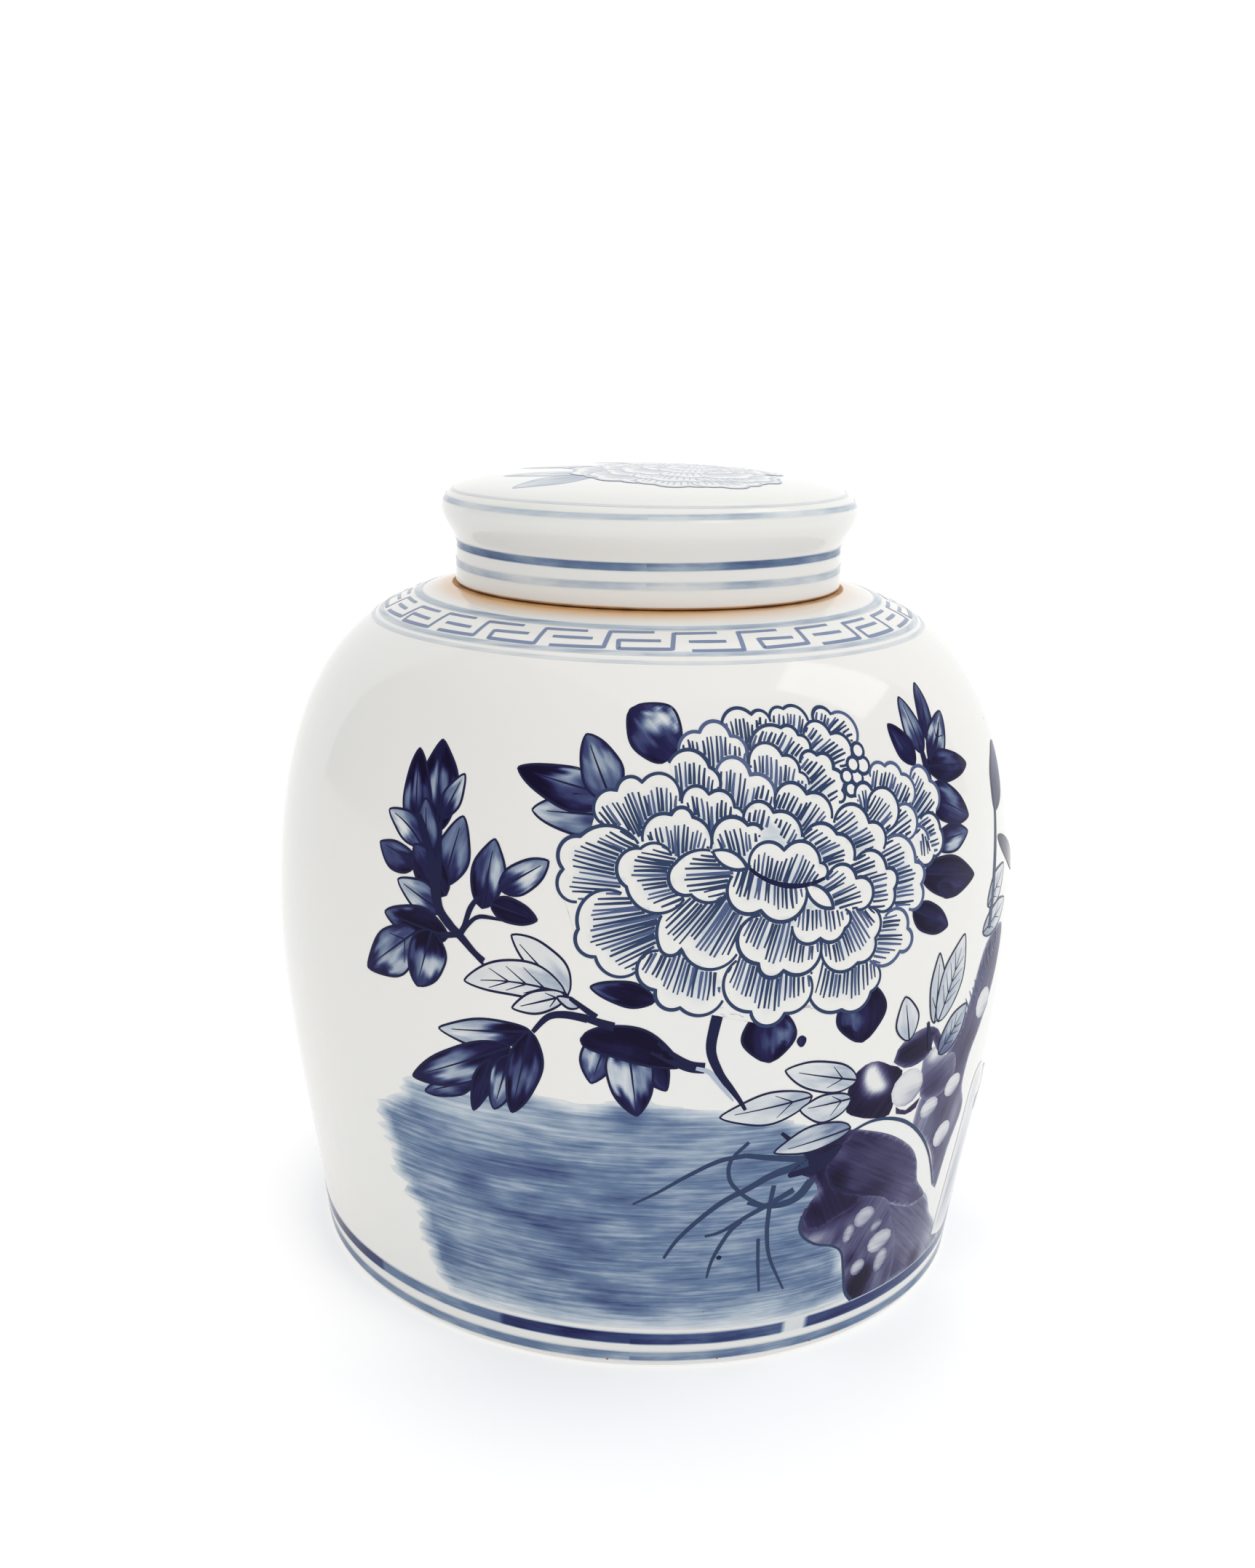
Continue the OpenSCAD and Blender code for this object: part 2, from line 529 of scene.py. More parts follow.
def bodyMaterial(name, bands):
    # glaze with bare clay where radius and height say so; each band is lowR, highR, lowZ, highZ and the
    # width of the toasted halo outside it, in millimetres
    material, tree, shader, coord, glaze = newMaterial(name)
    links = tree.links
    parts = addNode(tree, "ShaderNodeSeparateXYZ")
    links.new(coord.outputs["Object"], parts.inputs[0])
    flat = addNode(tree, "ShaderNodeCombineXYZ")
    links.new(parts.outputs["X"], flat.inputs["X"])
    links.new(parts.outputs["Y"], flat.inputs["Y"])
    length = addNode(tree, "ShaderNodeVectorMath", operation="LENGTH")
    links.new(flat.outputs[0], length.inputs[0])
    radius = mathNode(tree, "MULTIPLY", length.outputs["Value"], 1000)
    height = mathNode(tree, "MULTIPLY", parts.outputs["Z"], 1000)
    wobble = addNode(tree, "ShaderNodeTexNoise", in_Scale=22.0, in_Detail=4.0)
    links.new(coord.outputs["Object"], wobble.inputs["Vector"])
    shift = mathNode(tree, "MULTIPLY", mathNode(tree, "SUBTRACT", wobble.outputs["Fac"], 0.5), 2.4)
    radius = mathNode(tree, "ADD", radius, shift)
    bare = None
    flash = None
    for lowR, highR, lowZ, highZ, bleed in bands:
        outsideLow = stepNode(tree, radius, lowR - 0.4, lowR)
        insideHigh = stepNode(tree, radius, highR, highR + 0.5, 1, 0)
        across = mathNode(tree, "MULTIPLY", outsideLow, insideHigh)
        overFoot = stepNode(tree, height, lowZ - 0.3, lowZ)
        underTop = stepNode(tree, height, highZ, highZ + 0.3, 1, 0)
        upward = mathNode(tree, "MULTIPLY", overFoot, underTop)
        inside = mathNode(tree, "MULTIPLY", across, upward)
        bare = inside if bare is None else mathNode(tree, "MAXIMUM", bare, inside)
        if bleed:
            bleedIn = stepNode(tree, radius, lowR - 1, lowR)
            bleedUp = stepNode(tree, height, lowZ - 4, lowZ - 3)
            bleedOut = stepNode(tree, radius, highR, highR + bleed, 1, 0)
            flash = mathNode(tree, "MULTIPLY", bleedOut, mathNode(tree, "MULTIPLY", bleedIn, bleedUp))
    clay = addRamp(tree, [(0.3, (0.42, 0.22, 0.09)), (0.6, (0.58, 0.35, 0.17))])
    grain = addNode(tree, "ShaderNodeTexNoise", in_Scale=160.0, in_Detail=5.0)
    links.new(coord.outputs["Object"], grain.inputs["Vector"])
    links.new(grain.outputs["Fac"], clay.inputs["Fac"])
    colour = glaze.outputs["Color"]
    if flash is not None:
        # the toasted halo is strong at the front left and fades towards the right
        side = stepNode(tree, parts.outputs["X"], -0.01, 0.06, 1.0, 0.4)
        halo = mathNode(tree, "MULTIPLY", flash, side)
        toast = addNode(tree, "ShaderNodeMix", data_type="RGBA", blend_type="MIX")
        toast.inputs["B"].default_value = (0.70, 0.39, 0.14, 1)
        links.new(halo, toast.inputs["Factor"])
        links.new(colour, toast.inputs["A"])
        colour = toast.outputs["Result"]
    mix = addNode(tree, "ShaderNodeMix", data_type="RGBA", blend_type="MIX")
    links.new(bare, mix.inputs["Factor"])
    links.new(colour, mix.inputs["A"])
    links.new(clay.outputs["Color"], mix.inputs["B"])
    links.new(mix.outputs["Result"], shader.inputs["Base Color"])
    rough = addNode(tree, "ShaderNodeMix", data_type="FLOAT")
    rough.inputs["B"].default_value = 0.82
    links.new(bare, rough.inputs["Factor"])
    links.new(glaze.outputs["Roughness"], rough.inputs["A"])
    links.new(rough.outputs["Result"], shader.inputs["Roughness"])
    return material


jarGlaze = bodyMaterial(
    "jarGlaze",
    [
        (43.5, jarShape["seatR"], jarShape["seatZ"] - 0.6, neckTopZ + 1.0, 8.5),
        (jarShape["baseR"] - 8.6, jarShape["baseR"] - 1.4, -1.0, 0.7, 0),
        (40.0, 47.0, neckTopZ - 2.2, neckTopZ + 1.0, 0),
    ],
)
lidGlaze = bodyMaterial("lidGlaze", [(46.0, 52.4, lidFootZ - 0.5, lidFootZ + 0.45, 0)])
print("materials made")

# turned bodies


def spinPiece(name, outline, steps):
    bm = bmesh.new()
    verts = [bm.verts.new((r * mm, 0, z * mm)) for r, z in outline]
    edges = [bm.edges.new(pair) for pair in zip(verts, verts[1:])]
    bmesh.ops.spin(
        bm,
        geom=verts + edges,
        cent=(0, 0, 0),
        axis=(0, 0, 1),
        angle=2 * math.pi,
        steps=steps,
        use_merge=True,
    )
    bmesh.ops.remove_doubles(bm, verts=bm.verts, dist=0.000005)
    bmesh.ops.recalc_face_normals(bm, faces=bm.faces)
    for face in bm.faces:
        face.smooth = True
    for edge in bm.edges:
        edge.smooth = edge.calc_face_angle(0) < math.radians(38)
    mesh = bpy.data.meshes.new(name)
    bm.to_mesh(mesh)
    bm.free()
    piece = bpy.data.objects.new(name, mesh)
    scene.collection.objects.link(piece)
    return piece


jarBody = spinPiece("jarBody", jarOutline(), jarShape["spinSteps"])
jarBody.data.materials.append(jarGlaze)
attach(jarBody, "jar")
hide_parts("jar")

lidBody = spinPiece("lidBody", lidOutline(), lidShape["spinSteps"])
lidBody.data.materials.append(lidGlaze)
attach(lidBody, "lid")
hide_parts("lid")
print("jar and lid turned")

# painting tools


class Painting:
    # gathers brushwork that lies on one surface, and turns it into one piece

    def __init__(self, name, surface, stretch, materials):
        self.name = name
        self.surface = surface
        self.stretch = stretch
        self.materials = materials
        self.bm = bmesh.new()
        self.tone = self.bm.verts.layers.float.new("tone")
        self.uv = self.bm.loops.layers.uv.new("brush")
        self.normals = []

    def vert(self, a, b, lift, tone):
        place, normal = self.surface(a, b, lift)
        v = self.bm.verts.new(place)
        v[self.tone] = min(max(tone, 0.0), 1.0)
        self.normals.append(normal)
        return v

    def face(self, corners, uvs, slot):
        f = self.bm.faces.new(corners)
        f.smooth = True
        f.material_index = slot
        for loop, uv in zip(f.loops, uvs):
            loop[self.uv].uv = uv

    def finish(self, body):
        mesh = bpy.data.meshes.new(self.name)
        self.bm.normal_update()
        self.bm.verts.index_update()
        self.bm.verts.ensure_lookup_table()
        # every face looks out along the glaze's own normal
        flipped = [f for f in self.bm.faces if f.normal.dot(self.normals[f.verts[0].index]) < 0]
        if flipped:
            bmesh.ops.reverse_faces(self.bm, faces=flipped)
        self.bm.to_mesh(mesh)
        self.bm.free()
        mesh.normals_split_custom_set_from_vertices([tuple(n) for n in self.normals])
        for material in self.materials:
            mesh.materials.append(material)
        piece = bpy.data.objects.new(self.name, mesh)
        scene.collection.objects.link(piece)
        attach(piece, body)
        return piece


def smoothLine(points, step=0.8):
    # a curve through every point, with places about one step apart
    if len(points) < 3:
        (x0, y0), (x1, y1) = points[0], points[-1]
        n = max(int(math.hypot(x1 - x0, y1 - y0) / step), 1)
        return [(x0 + (x1 - x0) * i / n, y0 + (y1 - y0) * i / n) for i in range(n + 1)]
    out = []
    padded = [points[0]] + list(points) + [points[-1]]
    for i in range(1, len(padded) - 2):
        p0, p1, p2, p3 = padded[i - 1:i + 3]
        n = max(int(math.hypot(p2[0] - p1[0], p2[1] - p1[1]) / step), 1)
        for j in range(n):
            t = j / n
            out.append(tuple(
                0.5 * (2 * p1[k] + (p2[k] - p0[k]) * t
                       + (2 * p0[k] - 5 * p1[k] + 4 * p2[k] - p3[k]) * t * t
                       + (3 * p1[k] - p0[k] - 3 * p2[k] + p3[k]) * t ** 3)
                for k in (0, 1)
            ))
    out.append(tuple(points[-1]))
    return out


def widthAt(widths, t):
    x = t * (len(widths) - 1)
    i = min(int(x), len(widths) - 2)
    return widths[i] + (widths[i + 1] - widths[i]) * (x - i)


def paintLine(art, line, widths, slot=0, lift=0.1, tone=0.9, hide=None):
    # a tapering ribbon along a dense line; where something nearer hides it, it stops
    runs = [[]]
    total = len(line) - 1
    for i, (a, b) in enumerate(line):
        if hide is not None and hide(a, b):
            if runs[-1]:
                runs.append([])
            continue
        runs[-1].append((a, b, i / total))
    for run in runs:
        if len(run) < 2:
            continue
        previous = None
        along = 0.0
        for i, (a, b, t) in enumerate(run):
            before = run[max(i - 1, 0)]
            after = run[min(i + 1, len(run) - 1)]
            scale = art.stretch(b)
            da = (after[0] - before[0]) * scale
            db = after[1] - before[1]
            size = math.hypot(da, db) or 1.0
            half = widthAt(widths, t) / 2
            sideA = -db / size * half / scale
            sideB = da / size * half
            left = art.vert(a + sideA, b + sideB, lift, tone)
            right = art.vert(a - sideA, b - sideB, lift, tone)
            if previous is not None:
                here = along + size / 2
                art.face(
                    (previous[0], previous[1], right, left),
                    ((along, half), (along, -half), (here, -half), (here, half)),
                    slot,
                )
                along = here
            previous = (left, right)


def insideMask(xs, ys, outline):
    # which points lie inside a closed outline
    poly = np.asarray(outline)
    inside = np.zeros(xs.shape, bool)
    x0, y0 = poly[:, 0], poly[:, 1]
    x1, y1 = np.roll(x0, -1), np.roll(y0, -1)
    for ax, ay, bx, by in zip(x0, y0, x1, y1):
        if ay == by:
            continue
        crossing = ((ay > ys) != (by > ys)) & (xs < (bx - ax) * (ys - ay) / (by - ay) + ax)
        inside ^= crossing
    return inside


def lobe(start, end, bulge, root, step=0.55):
    # a round lobe from start to end that swells away from the root; bulge is its height over its width
    ax, ay = start
    bx, by = end
    chord = math.hypot(bx - ax, by - ay)
    nx, ny = -(by - ay) / chord, (bx - ax) / chord
    mx, my = (ax + bx) / 2, (ay + by) / 2
    if nx * (mx - root[0]) + ny * (my - root[1]) < 0:
        nx, ny = -nx, -ny
    rise = bulge * chord
    radius = (chord * chord / 4 + rise * rise) / (2 * abs(rise))
    if rise < 0:
        nx, ny, rise = -nx, -ny, -rise
    cx, cy = mx + nx * (rise - radius), my + ny * (rise - radius)
    a0 = math.atan2(ay - cy, ax - cx)
    sweep = 2 * math.asin(min(chord / 2 / radius, 1.0))
    if rise > radius:
        sweep = 2 * math.pi - sweep
    towards = (ax - cx) * ny - (ay - cy) * nx
    sign = 1 if towards > 0 else -1
    n = max(int(sweep * radius / step), 3)
    turns = [a0 + sign * sweep * i / n for i in range(n + 1)]
    return [(cx + radius * math.cos(turn), cy + radius * math.sin(turn)) for turn in turns]


def newPetal(root, start, rim, **more):
    return {"root": root, "from": start, "rim": rim, **more}


def closedShape(petal):
    # the visible rim of a petal, and the closed outline that hides whatever lies behind it
    if "almond" in petal:
        first, last, bulge = petal["almond"]
        along = (last[0] - first[0], last[1] - first[1])
        above = (first[0] - along[1], first[1] + along[0])
        below = (first[0] + along[1], first[1] - along[0])
        rim = lobe(first, last, bulge, below) + lobe(last, first, bulge, above)[1:]
        return rim, rim[:-1]
    rim = [petal["from"]]
    for a, b, bulge in petal["rim"]:
        rim += lobe(rim[-1], (a, b), bulge, petal["root"])[1:]
    if "fold" in petal:
        return rim, rim + lobe(rim[-1], petal["from"], petal["fold"], petal["root"])[1:-1]
    return rim, rim + [petal["root"]]


class Stack:
    # tells which petal is nearest at any place on the flower

    def __init__(self, outlines, cell=0.12):
        points = np.vstack([np.array(outline) for outline in outlines])
        self.cell = cell
        self.low = points.min(axis=0) - 1
        size = ((points.max(axis=0) + 1 - self.low) / cell).astype(int) + 2
        self.owner = np.full((size[1], size[0]), -1, int)
        for index, outline in enumerate(outlines):
            corners = np.array(outline)
            i0, j0 = ((corners.min(axis=0) - self.low) / cell).astype(int)
            i1, j1 = ((corners.max(axis=0) - self.low) / cell).astype(int) + 2
            columns, rows = np.arange(i0, i1), np.arange(j0, j1)
            xs, ys = np.meshgrid(self.low[0] + columns * cell, self.low[1] + rows * cell)
            part = self.owner[j0:j1, i0:i1]
            part[insideMask(xs, ys, outline)] = index

    def at(self, a, b):
        i = int(round((a - self.low[0]) / self.cell))
        j = int(round((b - self.low[1]) / self.cell))
        rows, columns = self.owner.shape
        return self.owner[j, i] if 0 <= i < columns and 0 <= j < rows else -1


def smoothed(values, reach=3):
    out = []
    for i in range(len(values)):
        near = values[max(i - reach, 0):i + reach + 1]
        out.append(sum(near) / len(near))
    return out


def hatchPetal(lines, petal, rim, index, stack, look, dice):
    # fine lines that fan out from the root and stop short of the rim
    # the lines aim well behind the root, so they stay nearly parallel
    middle = rim[len(rim) // 2]
    root = tuple(middle[k] + (petal["root"][k] - middle[k]) * look["aim"] for k in (0, 1))
    spacing = look["spacing"]
    carried = spacing * 0.6
    stations = []
    for (a0, b0), (a1, b1) in zip(rim, rim[1:]):
        step = math.hypot(a1 - a0, b1 - b0)
        way = math.atan2(b0 - root[1], a0 - root[0])
        # a steep flank would crowd the lines, so only travel across them counts
        carried += min(abs((a1 - a0) * math.sin(way) - (b1 - b0) * math.cos(way)), step)
        if carried < spacing:
            continue
        carried -= spacing * dice.uniform(0.92, 1.08)
        reach = math.hypot(a0 - root[0], b0 - root[1])
        depth = 0.4
        while depth < reach * 0.92:
            t = 1 - depth / reach
            if stack.at(root[0] + (a0 - root[0]) * t, root[1] + (b0 - root[1]) * t) != index:
                break
            depth += 0.3
        stations.append((a0, b0, way, reach, depth))

    def hide(a, b):
        return stack.at(a, b) != index

    low, high = look["margin"]
    margins = smoothed([min(max(s[4] * look["share"], low), high) for s in stations])
    for (a0, b0, way, reach, depth), margin in zip(stations, margins):
        margin *= dice.uniform(0.86, 1.14)
        length = min(depth + 0.6, reach * 0.93) - margin
        if length < 0.8:
            continue
        sway = dice.uniform(-0.2, 0.2)
        n = max(int(length / 0.6), 3)
        line = []
        for i in range(n + 1):
            t = 1 - (margin + length * (1 - i / n)) / reach
            bend = math.sin(math.pi * i / n) * sway
            line.append((
                root[0] + (a0 - root[0]) * t - math.sin(way) * bend,
                root[1] + (b0 - root[1]) * t + math.cos(way) * bend,
            ))
        heavy = look["hatch"] * dice.uniform(0.8, 1.2)
        ink = look["hatchInk"] + (1 if dice.random() < 0.35 else 0)
        paintLine(lines, line, (heavy * 1.1, heavy, heavy * 0.65), ink, look["lift"] + 0.012, hide=hide)


def paintBloom(names, petals, seeds, look, body="jar", surface=onWall, stretch=wallStretch):
    # petals are listed from the farthest to the nearest, and each hides what is behind it
    dice = random.Random(look["dice"])
    shapes = [(petal, *closedShape(petal)) for petal in petals]
    for a, b, r in seeds:
        rim = [(a + r * math.cos(k * math.pi / 12), b + r * math.sin(k * math.pi / 12)) for k in range(25)]
        shapes.insert(look["seedsAfter"], ({"plain": True}, rim, rim[:-1]))
    stack = Stack([shape[2] for shape in shapes])
    lines = Painting(names[1], surface, stretch, inks)
    for index, (petal, rim, closed) in enumerate(shapes):

        def hide(a, b):
            return stack.at(a, b) > index

        heavy = look["outline"] * dice.uniform(0.9, 1.1)
        ink = look["outlineInk"] + (1 if dice.random() < 0.2 else 0)
        widths = (heavy * 0.75, heavy, heavy * 1.1, heavy, heavy * 0.75)
        paintLine(lines, rim, widths, ink, look["lift"] + 0.02, hide=hide)
        if "fold" in petal:
            fold = lobe(rim[-1], rim[0], petal["fold"], petal["root"])
            paintLine(lines, fold, (heavy, heavy * 1.6, heavy), 0, look["lift"] + 0.02, hide=hide)
        if not petal.get("plain") and "almond" not in petal:
            hatchPetal(lines, petal, rim, index, stack, look, dice)
    lines.finish(body)
    # the white of the flower, which hides the leaves behind it
    centre = look["centre"]
    outline = []
    for k in range(240):
        ca, sa = math.cos(k * math.pi / 120), math.sin(k * math.pi / 120)
        far = 1.0
        reach = 1.0
        while reach < look["reach"]:
            if stack.at(centre[0] + reach * ca, centre[1] + reach * sa) >= 0:
                far = reach
            reach += 0.25
        outline.append((centre[0] + far * ca, centre[1] + far * sa))
    ground = Painting(names[0], surface, stretch, [petalWash])

    def tint(xs, ys):
        tones = np.zeros(xs.shape)
        for petal, rim, closed in shapes:
            mask = insideMask(xs, ys, closed)
            edge = np.array(rim)
            gap = np.hypot(xs[mask][:, None] - edge[None, :, 0], ys[mask][:, None] - edge[None, :, 1])
            deep = gap.min(axis=1) if mask.any() else 0
            strength = 0.0 if petal.get("plain") or "almond" in petal else look["tint"]
            tones[mask] = np.clip((deep - 2.2) / 4, 0, 1) * strength
        return tones

    flatSheet(ground, outline, 1.6, look["lift"], tint)
    ground.finish(body)


def flatSheet(art, outline, cell, lift, toneAt, lean=0.0):
    # a flat face is cut into small cells, given its tones, then laid on the surface
    flat = bmesh.new()
    face = flat.faces.new([flat.verts.new((a, b, 0)) for a, b in outline])
    bmesh.ops.triangulate(flat, faces=[face])
    for k in (0, 1):
        low = min(p[k] for p in outline)
        high = max(p[k] for p in outline)
        count = int((high - low) / cell)
        for i in range(1, count + 1):
            place = [0, 0, 0]
            place[k] = low + (high - low) * i / (count + 1)
            geom = flat.verts[:] + flat.edges[:] + flat.faces[:]
            bmesh.ops.bisect_plane(flat, geom=geom, dist=0.0001, plane_co=place, plane_no=(1 - k, k, 0))
    bmesh.ops.remove_doubles(flat, verts=flat.verts, dist=0.001)
    flat.verts.index_update()
    xs = np.array([v.co.x for v in flat.verts])
    ys = np.array([v.co.y for v in flat.verts])
    tones = toneAt(xs, ys)
    ca, sa = math.cos(math.radians(lean)), math.sin(math.radians(lean))
    verts = [art.vert(v.co.x, v.co.y, lift, tones[v.index]) for v in flat.verts]
    for face in flat.faces:
        uvs = [(v.co.x * ca + v.co.y * sa, v.co.y * ca - v.co.x * sa) for v in face.verts]
        art.face([verts[v.index] for v in face.verts], uvs, 0)
    flat.free()


def paintWash(art, wash):
    # a brushed area: its tone is the base and the blobs, fading to nothing at the edge
    outline = smoothLine(wash["outline"] + wash["outline"][:1], wash.get("step", 2.0))[:-1]
    if "ragged" in wash:
        dice = random.Random(wash["dice"])
        outline = [(a + dice.uniform(-1, 1) * wash["ragged"], b) for a, b in outline]
    edge = np.array(outline + outline[:1])
    # the distance to the edge is taken from points strewn along it
    dense = []
    for (a0, b0), (a1, b1) in zip(edge, edge[1:]):
        n = max(int(math.hypot(a1 - a0, b1 - b0) / 0.4), 1)
        dense += [(a0 + (a1 - a0) * i / n, b0 + (b1 - b0) * i / n) for i in range(n)]
    dense = np.array(dense)

    def toneAt(xs, ys):
        tones = np.full(xs.shape, float(wash["base"]))
        for a, b, ra, rb, strength in wash.get("blobs", []):
            tones += strength * np.exp(-(((xs - a) / ra) ** 2 + ((ys - b) / rb) ** 2))
        tones = np.clip(tones, 0.03, 1)
        gap = np.empty(xs.shape)
        for k in range(0, len(xs), 500):
            some = slice(k, k + 500)
            part = np.hypot(xs[some, None] - dense[None, :, 0], ys[some, None] - dense[None, :, 1])
            gap[some] = part.min(axis=1)
        fade = np.clip(gap / wash.get("fade", 1.0), 0, 1)
        return tones * (wash.get("rimTone", 0.0) + (1 - wash.get("rimTone", 0.0)) * fade)

    flatSheet(art, outline, wash.get("cell", 1.3), wash["lift"], toneAt, wash.get("lean", 0.0))


def paintRing(art, rows, runs, place, width, tone, dice, swing=0.25, gaps=()):
    # a band laid while the pot turned on the wheel; its load of colour comes and goes
    random.seed(dice)
    waves = [(random.randint(1, 9), random.uniform(0, 6.3), random.uniform(0.3, 1.0)) for k in range(5)]
    total = sum(w[2] for w in waves)
    steps = 360
    edge = (-0.5, -0.36, 0.0, 0.36, 0.5)
    grid = []
    for i in range(steps):
        turn = 2 * math.pi * i / steps
        load = sum(w[2] * math.sin(w[0] * turn + w[1]) for w in waves) / total
        drift = 0.18 * math.sin(3 * turn + waves[0][1])
        full = tone * (1 + swing * load)
        for start, end, keep in gaps:
            if start < (turn * bodyR if turn < math.pi else (turn - 2 * math.pi) * bodyR) < end:
                full *= keep
        row = []
        for e in edge:
            run, r, z, nr, nz = between(rows, runs, place + drift + e * width)
            normal = Vector((nr * math.sin(turn), -nr * math.cos(turn), nz)).normalized()
            spot = Vector((r * math.sin(turn), -r * math.cos(turn), z)) + normal * 0.05
            v = art.bm.verts.new(spot * mm)
            v[art.tone] = full * (1 - (abs(e) > 0.4) * 0.9)
            art.normals.append(normal)
            row.append((v, (turn * r, e * width)))
        grid.append(row)
    for i, low in enumerate(grid):
        high = grid[(i + 1) % steps]
        for (p, pu), (q, qu), (r, ru), (s, su) in zip(low, low[1:], high[1:], high):
            if i == steps - 1:
                ru = (pu[0] + 1.7, ru[1])
                su = (pu[0] + 1.7, su[1])
            art.face((p, q, r, s), (pu, qu, ru, su), 0)


def newStroke(line, widths, **more):
    return {"line": line, "widths": widths, **more}


def newLeaf(base, tip, wide, tones, **more):
    return {"from": base, "to": tip, "wide": wide, "tones": tones, **more}


def finer(leaves, **values):
    # the same leaves, all with these values
    return [{**leaf, **values} for leaf in leaves]


def eased(value, low, high):
    t = min(max((value - low) / (high - low), 0), 1)
    return t * t * (3 - 2 * t)


def paintLeaf(art, lines, leaf, order, base):
    # leaf: base, tip, bow of its rib, left and right half widths, tones at base, left, right and tip
    (ba, bb), (ta, tb) = leaf["from"], leaf["to"]
    bow = leaf.get("bow", 0.0)
    left, right = leaf["wide"]
    toneBase, toneLeft, toneRight, toneTip = leaf["tones"]
    full = leaf.get("full", 0.74)      # below 1 the leaf is round, above it is slim
    where = leaf.get("where", 0.85)    # below 1 the widest place moves towards the base
    lift = base + order * 0.004
    length = math.hypot(ta - ba, tb - bb)
    fa, fb = (ta - ba) / length, (tb - bb) / length
    na, nb = -fb, fa
    rows = max(int(length / 0.7), 12)
    side = 5
    grid = []
    edges = ([], [])
    rib = []
    dice = random.Random(int(ba * 71 + bb * 13 + ta * 7))
    offset = dice.uniform(0, 80)
    for i in range(rows + 1):
        t = i / rows
        sway = bow * math.sin(math.pi * t)
        ca, cb = ba + fa * length * t + na * sway, bb + fb * length * t + nb * sway
        swell = max(math.sin(math.pi * t ** where), 0.0) ** full
        ripple = 1 + 0.05 * math.sin(9 * t + offset)
        row = []
        for j in range(-side, side + 1):
            w = (left if j > 0 else right) * swell * ripple * j / side
            across = abs(j) / side
            middle = toneLeft if j > 0 else toneRight
            if abs(j) < 2:
                middle = (toneLeft + toneRight) / 2 + (toneLeft - toneRight) * 0.25 * j
            # dark pools at the base and at the tip, each ending in a wavy edge where the wash stopped
            wave = 0.07 * math.sin(1.9 * w + offset) + 0.05 * math.sin(3.7 * w - 2 * offset)
            reach = leaf.get("tongue", 0.5) * (1.1 - 0.3 * across) + wave
            fromBase = 1 - eased(t, reach - 0.24, reach)
            cap = leaf.get("cap", 0.7) - 0.2 * across - wave
            fromTip = eased(t, cap, cap + 0.2)
            tone = middle + (toneBase - middle) * fromBase + (toneTip - middle) * fromTip
            tone += leaf.get("edge", 0.3) * across ** 4 * min(middle * 2, 1)
            row.append((art.vert(ca + na * w, cb + nb * w, lift, tone), (t * length + offset, w + offset)))
            if j == side:
                edges[0].append((ca + na * w, cb + nb * w))
            if j == -side:
                edges[1].append((ca + na * w, cb + nb * w))
        rib.append((ca, cb))
        grid.append(row)
    for low, high in zip(grid, grid[1:]):
        for (p, pu), (q, qu), (r, ru), (s, su) in zip(low, low[1:], high[1:], high):
            art.face((p, q, r, s), (pu, qu, ru, su), 0)
    ink = leaf.get("ink", 0)
    thick = leaf.get("line", 0.62)
    above = lift + 0.002
    for edge in edges:
        paintLine(lines, edge, (thick * 0.7, thick, thick, thick * 0.8), ink, above)
    ribInk = leaf.get("ribInk", ink)
    if leaf.get("rib", True):
        paintLine(lines, rib[: int(len(rib) * 0.86)], (thick, thick * 0.8, thick * 0.35), ribInk, above)
    for k in range(leaf.get("veins", 0)):
        t = 0.22 + 0.5 * k / max(leaf["veins"], 1)
        i = int(t * rows)
        j = min(i + max(int(rows * 0.2), 2), rows)
        for edge in edges:
            tip = tuple(middle + (side - middle) * 0.72 for middle, side in zip(rib[j], edge[j]))
            paintLine(lines, smoothLine([rib[i], tip]), (thick * 0.7, thick * 0.3), ribInk, above)


def paintLeaves(name, leaves, stems, body="jar", surface=onWall, stretch=wallStretch, base=0.04):
    art = Painting(name, surface, stretch, [leafWash])
    lines = Painting(name + "Lines", surface, stretch, inks)
    for order, leaf in enumerate(leaves):
        paintLeaf(art, lines, leaf, order, base)
    top = base + len(leaves) * 0.004 + 0.002
    for stem in stems:
        line = smoothLine(stem["line"])
        paintLine(lines, line, stem["widths"], stem.get("ink", 0), top + 0.004 * stem.get("over", 0))
    art.finish(body)
    lines.finish(body)


# camera and light first

cameraValues = {
    "distance": 0.451,
    "height": 0.2395,
    "down": 9.49,
    "aside": -3.79,
    "roll": -0.63,
    "lens": 38.3,
    "shift": (0.0581, -0.1011),
}


def makeCamera():
    v = cameraValues
    down, aside, roll = (math.radians(v[k]) for k in ("down", "aside", "roll"))
    right = Vector((math.cos(aside), -math.sin(aside), 0))
    ahead = Vector((math.sin(aside), math.cos(aside), 0))
    look = ahead * math.cos(down) - Vector((0, 0, 1)) * math.sin(down)
    up = ahead * math.sin(down) + Vector((0, 0, 1)) * math.cos(down)
    rolledRight = right * math.cos(roll) - up * math.sin(roll)
    rolledUp = right * math.sin(roll) + up * math.cos(roll)
    turn = Matrix((rolledRight, rolledUp, -look)).transposed().to_4x4()
    data = bpy.data.cameras.new("camera")
    data.lens = v["lens"]
    data.sensor_width = 36
    data.shift_x, data.shift_y = v["shift"]
    camera = bpy.data.objects.new("camera", data)
    camera.matrix_world = Matrix.Translation((0, -v["distance"], v["height"])) @ turn
    scene.collection.objects.link(camera)
    scene.camera = camera


makeCamera()

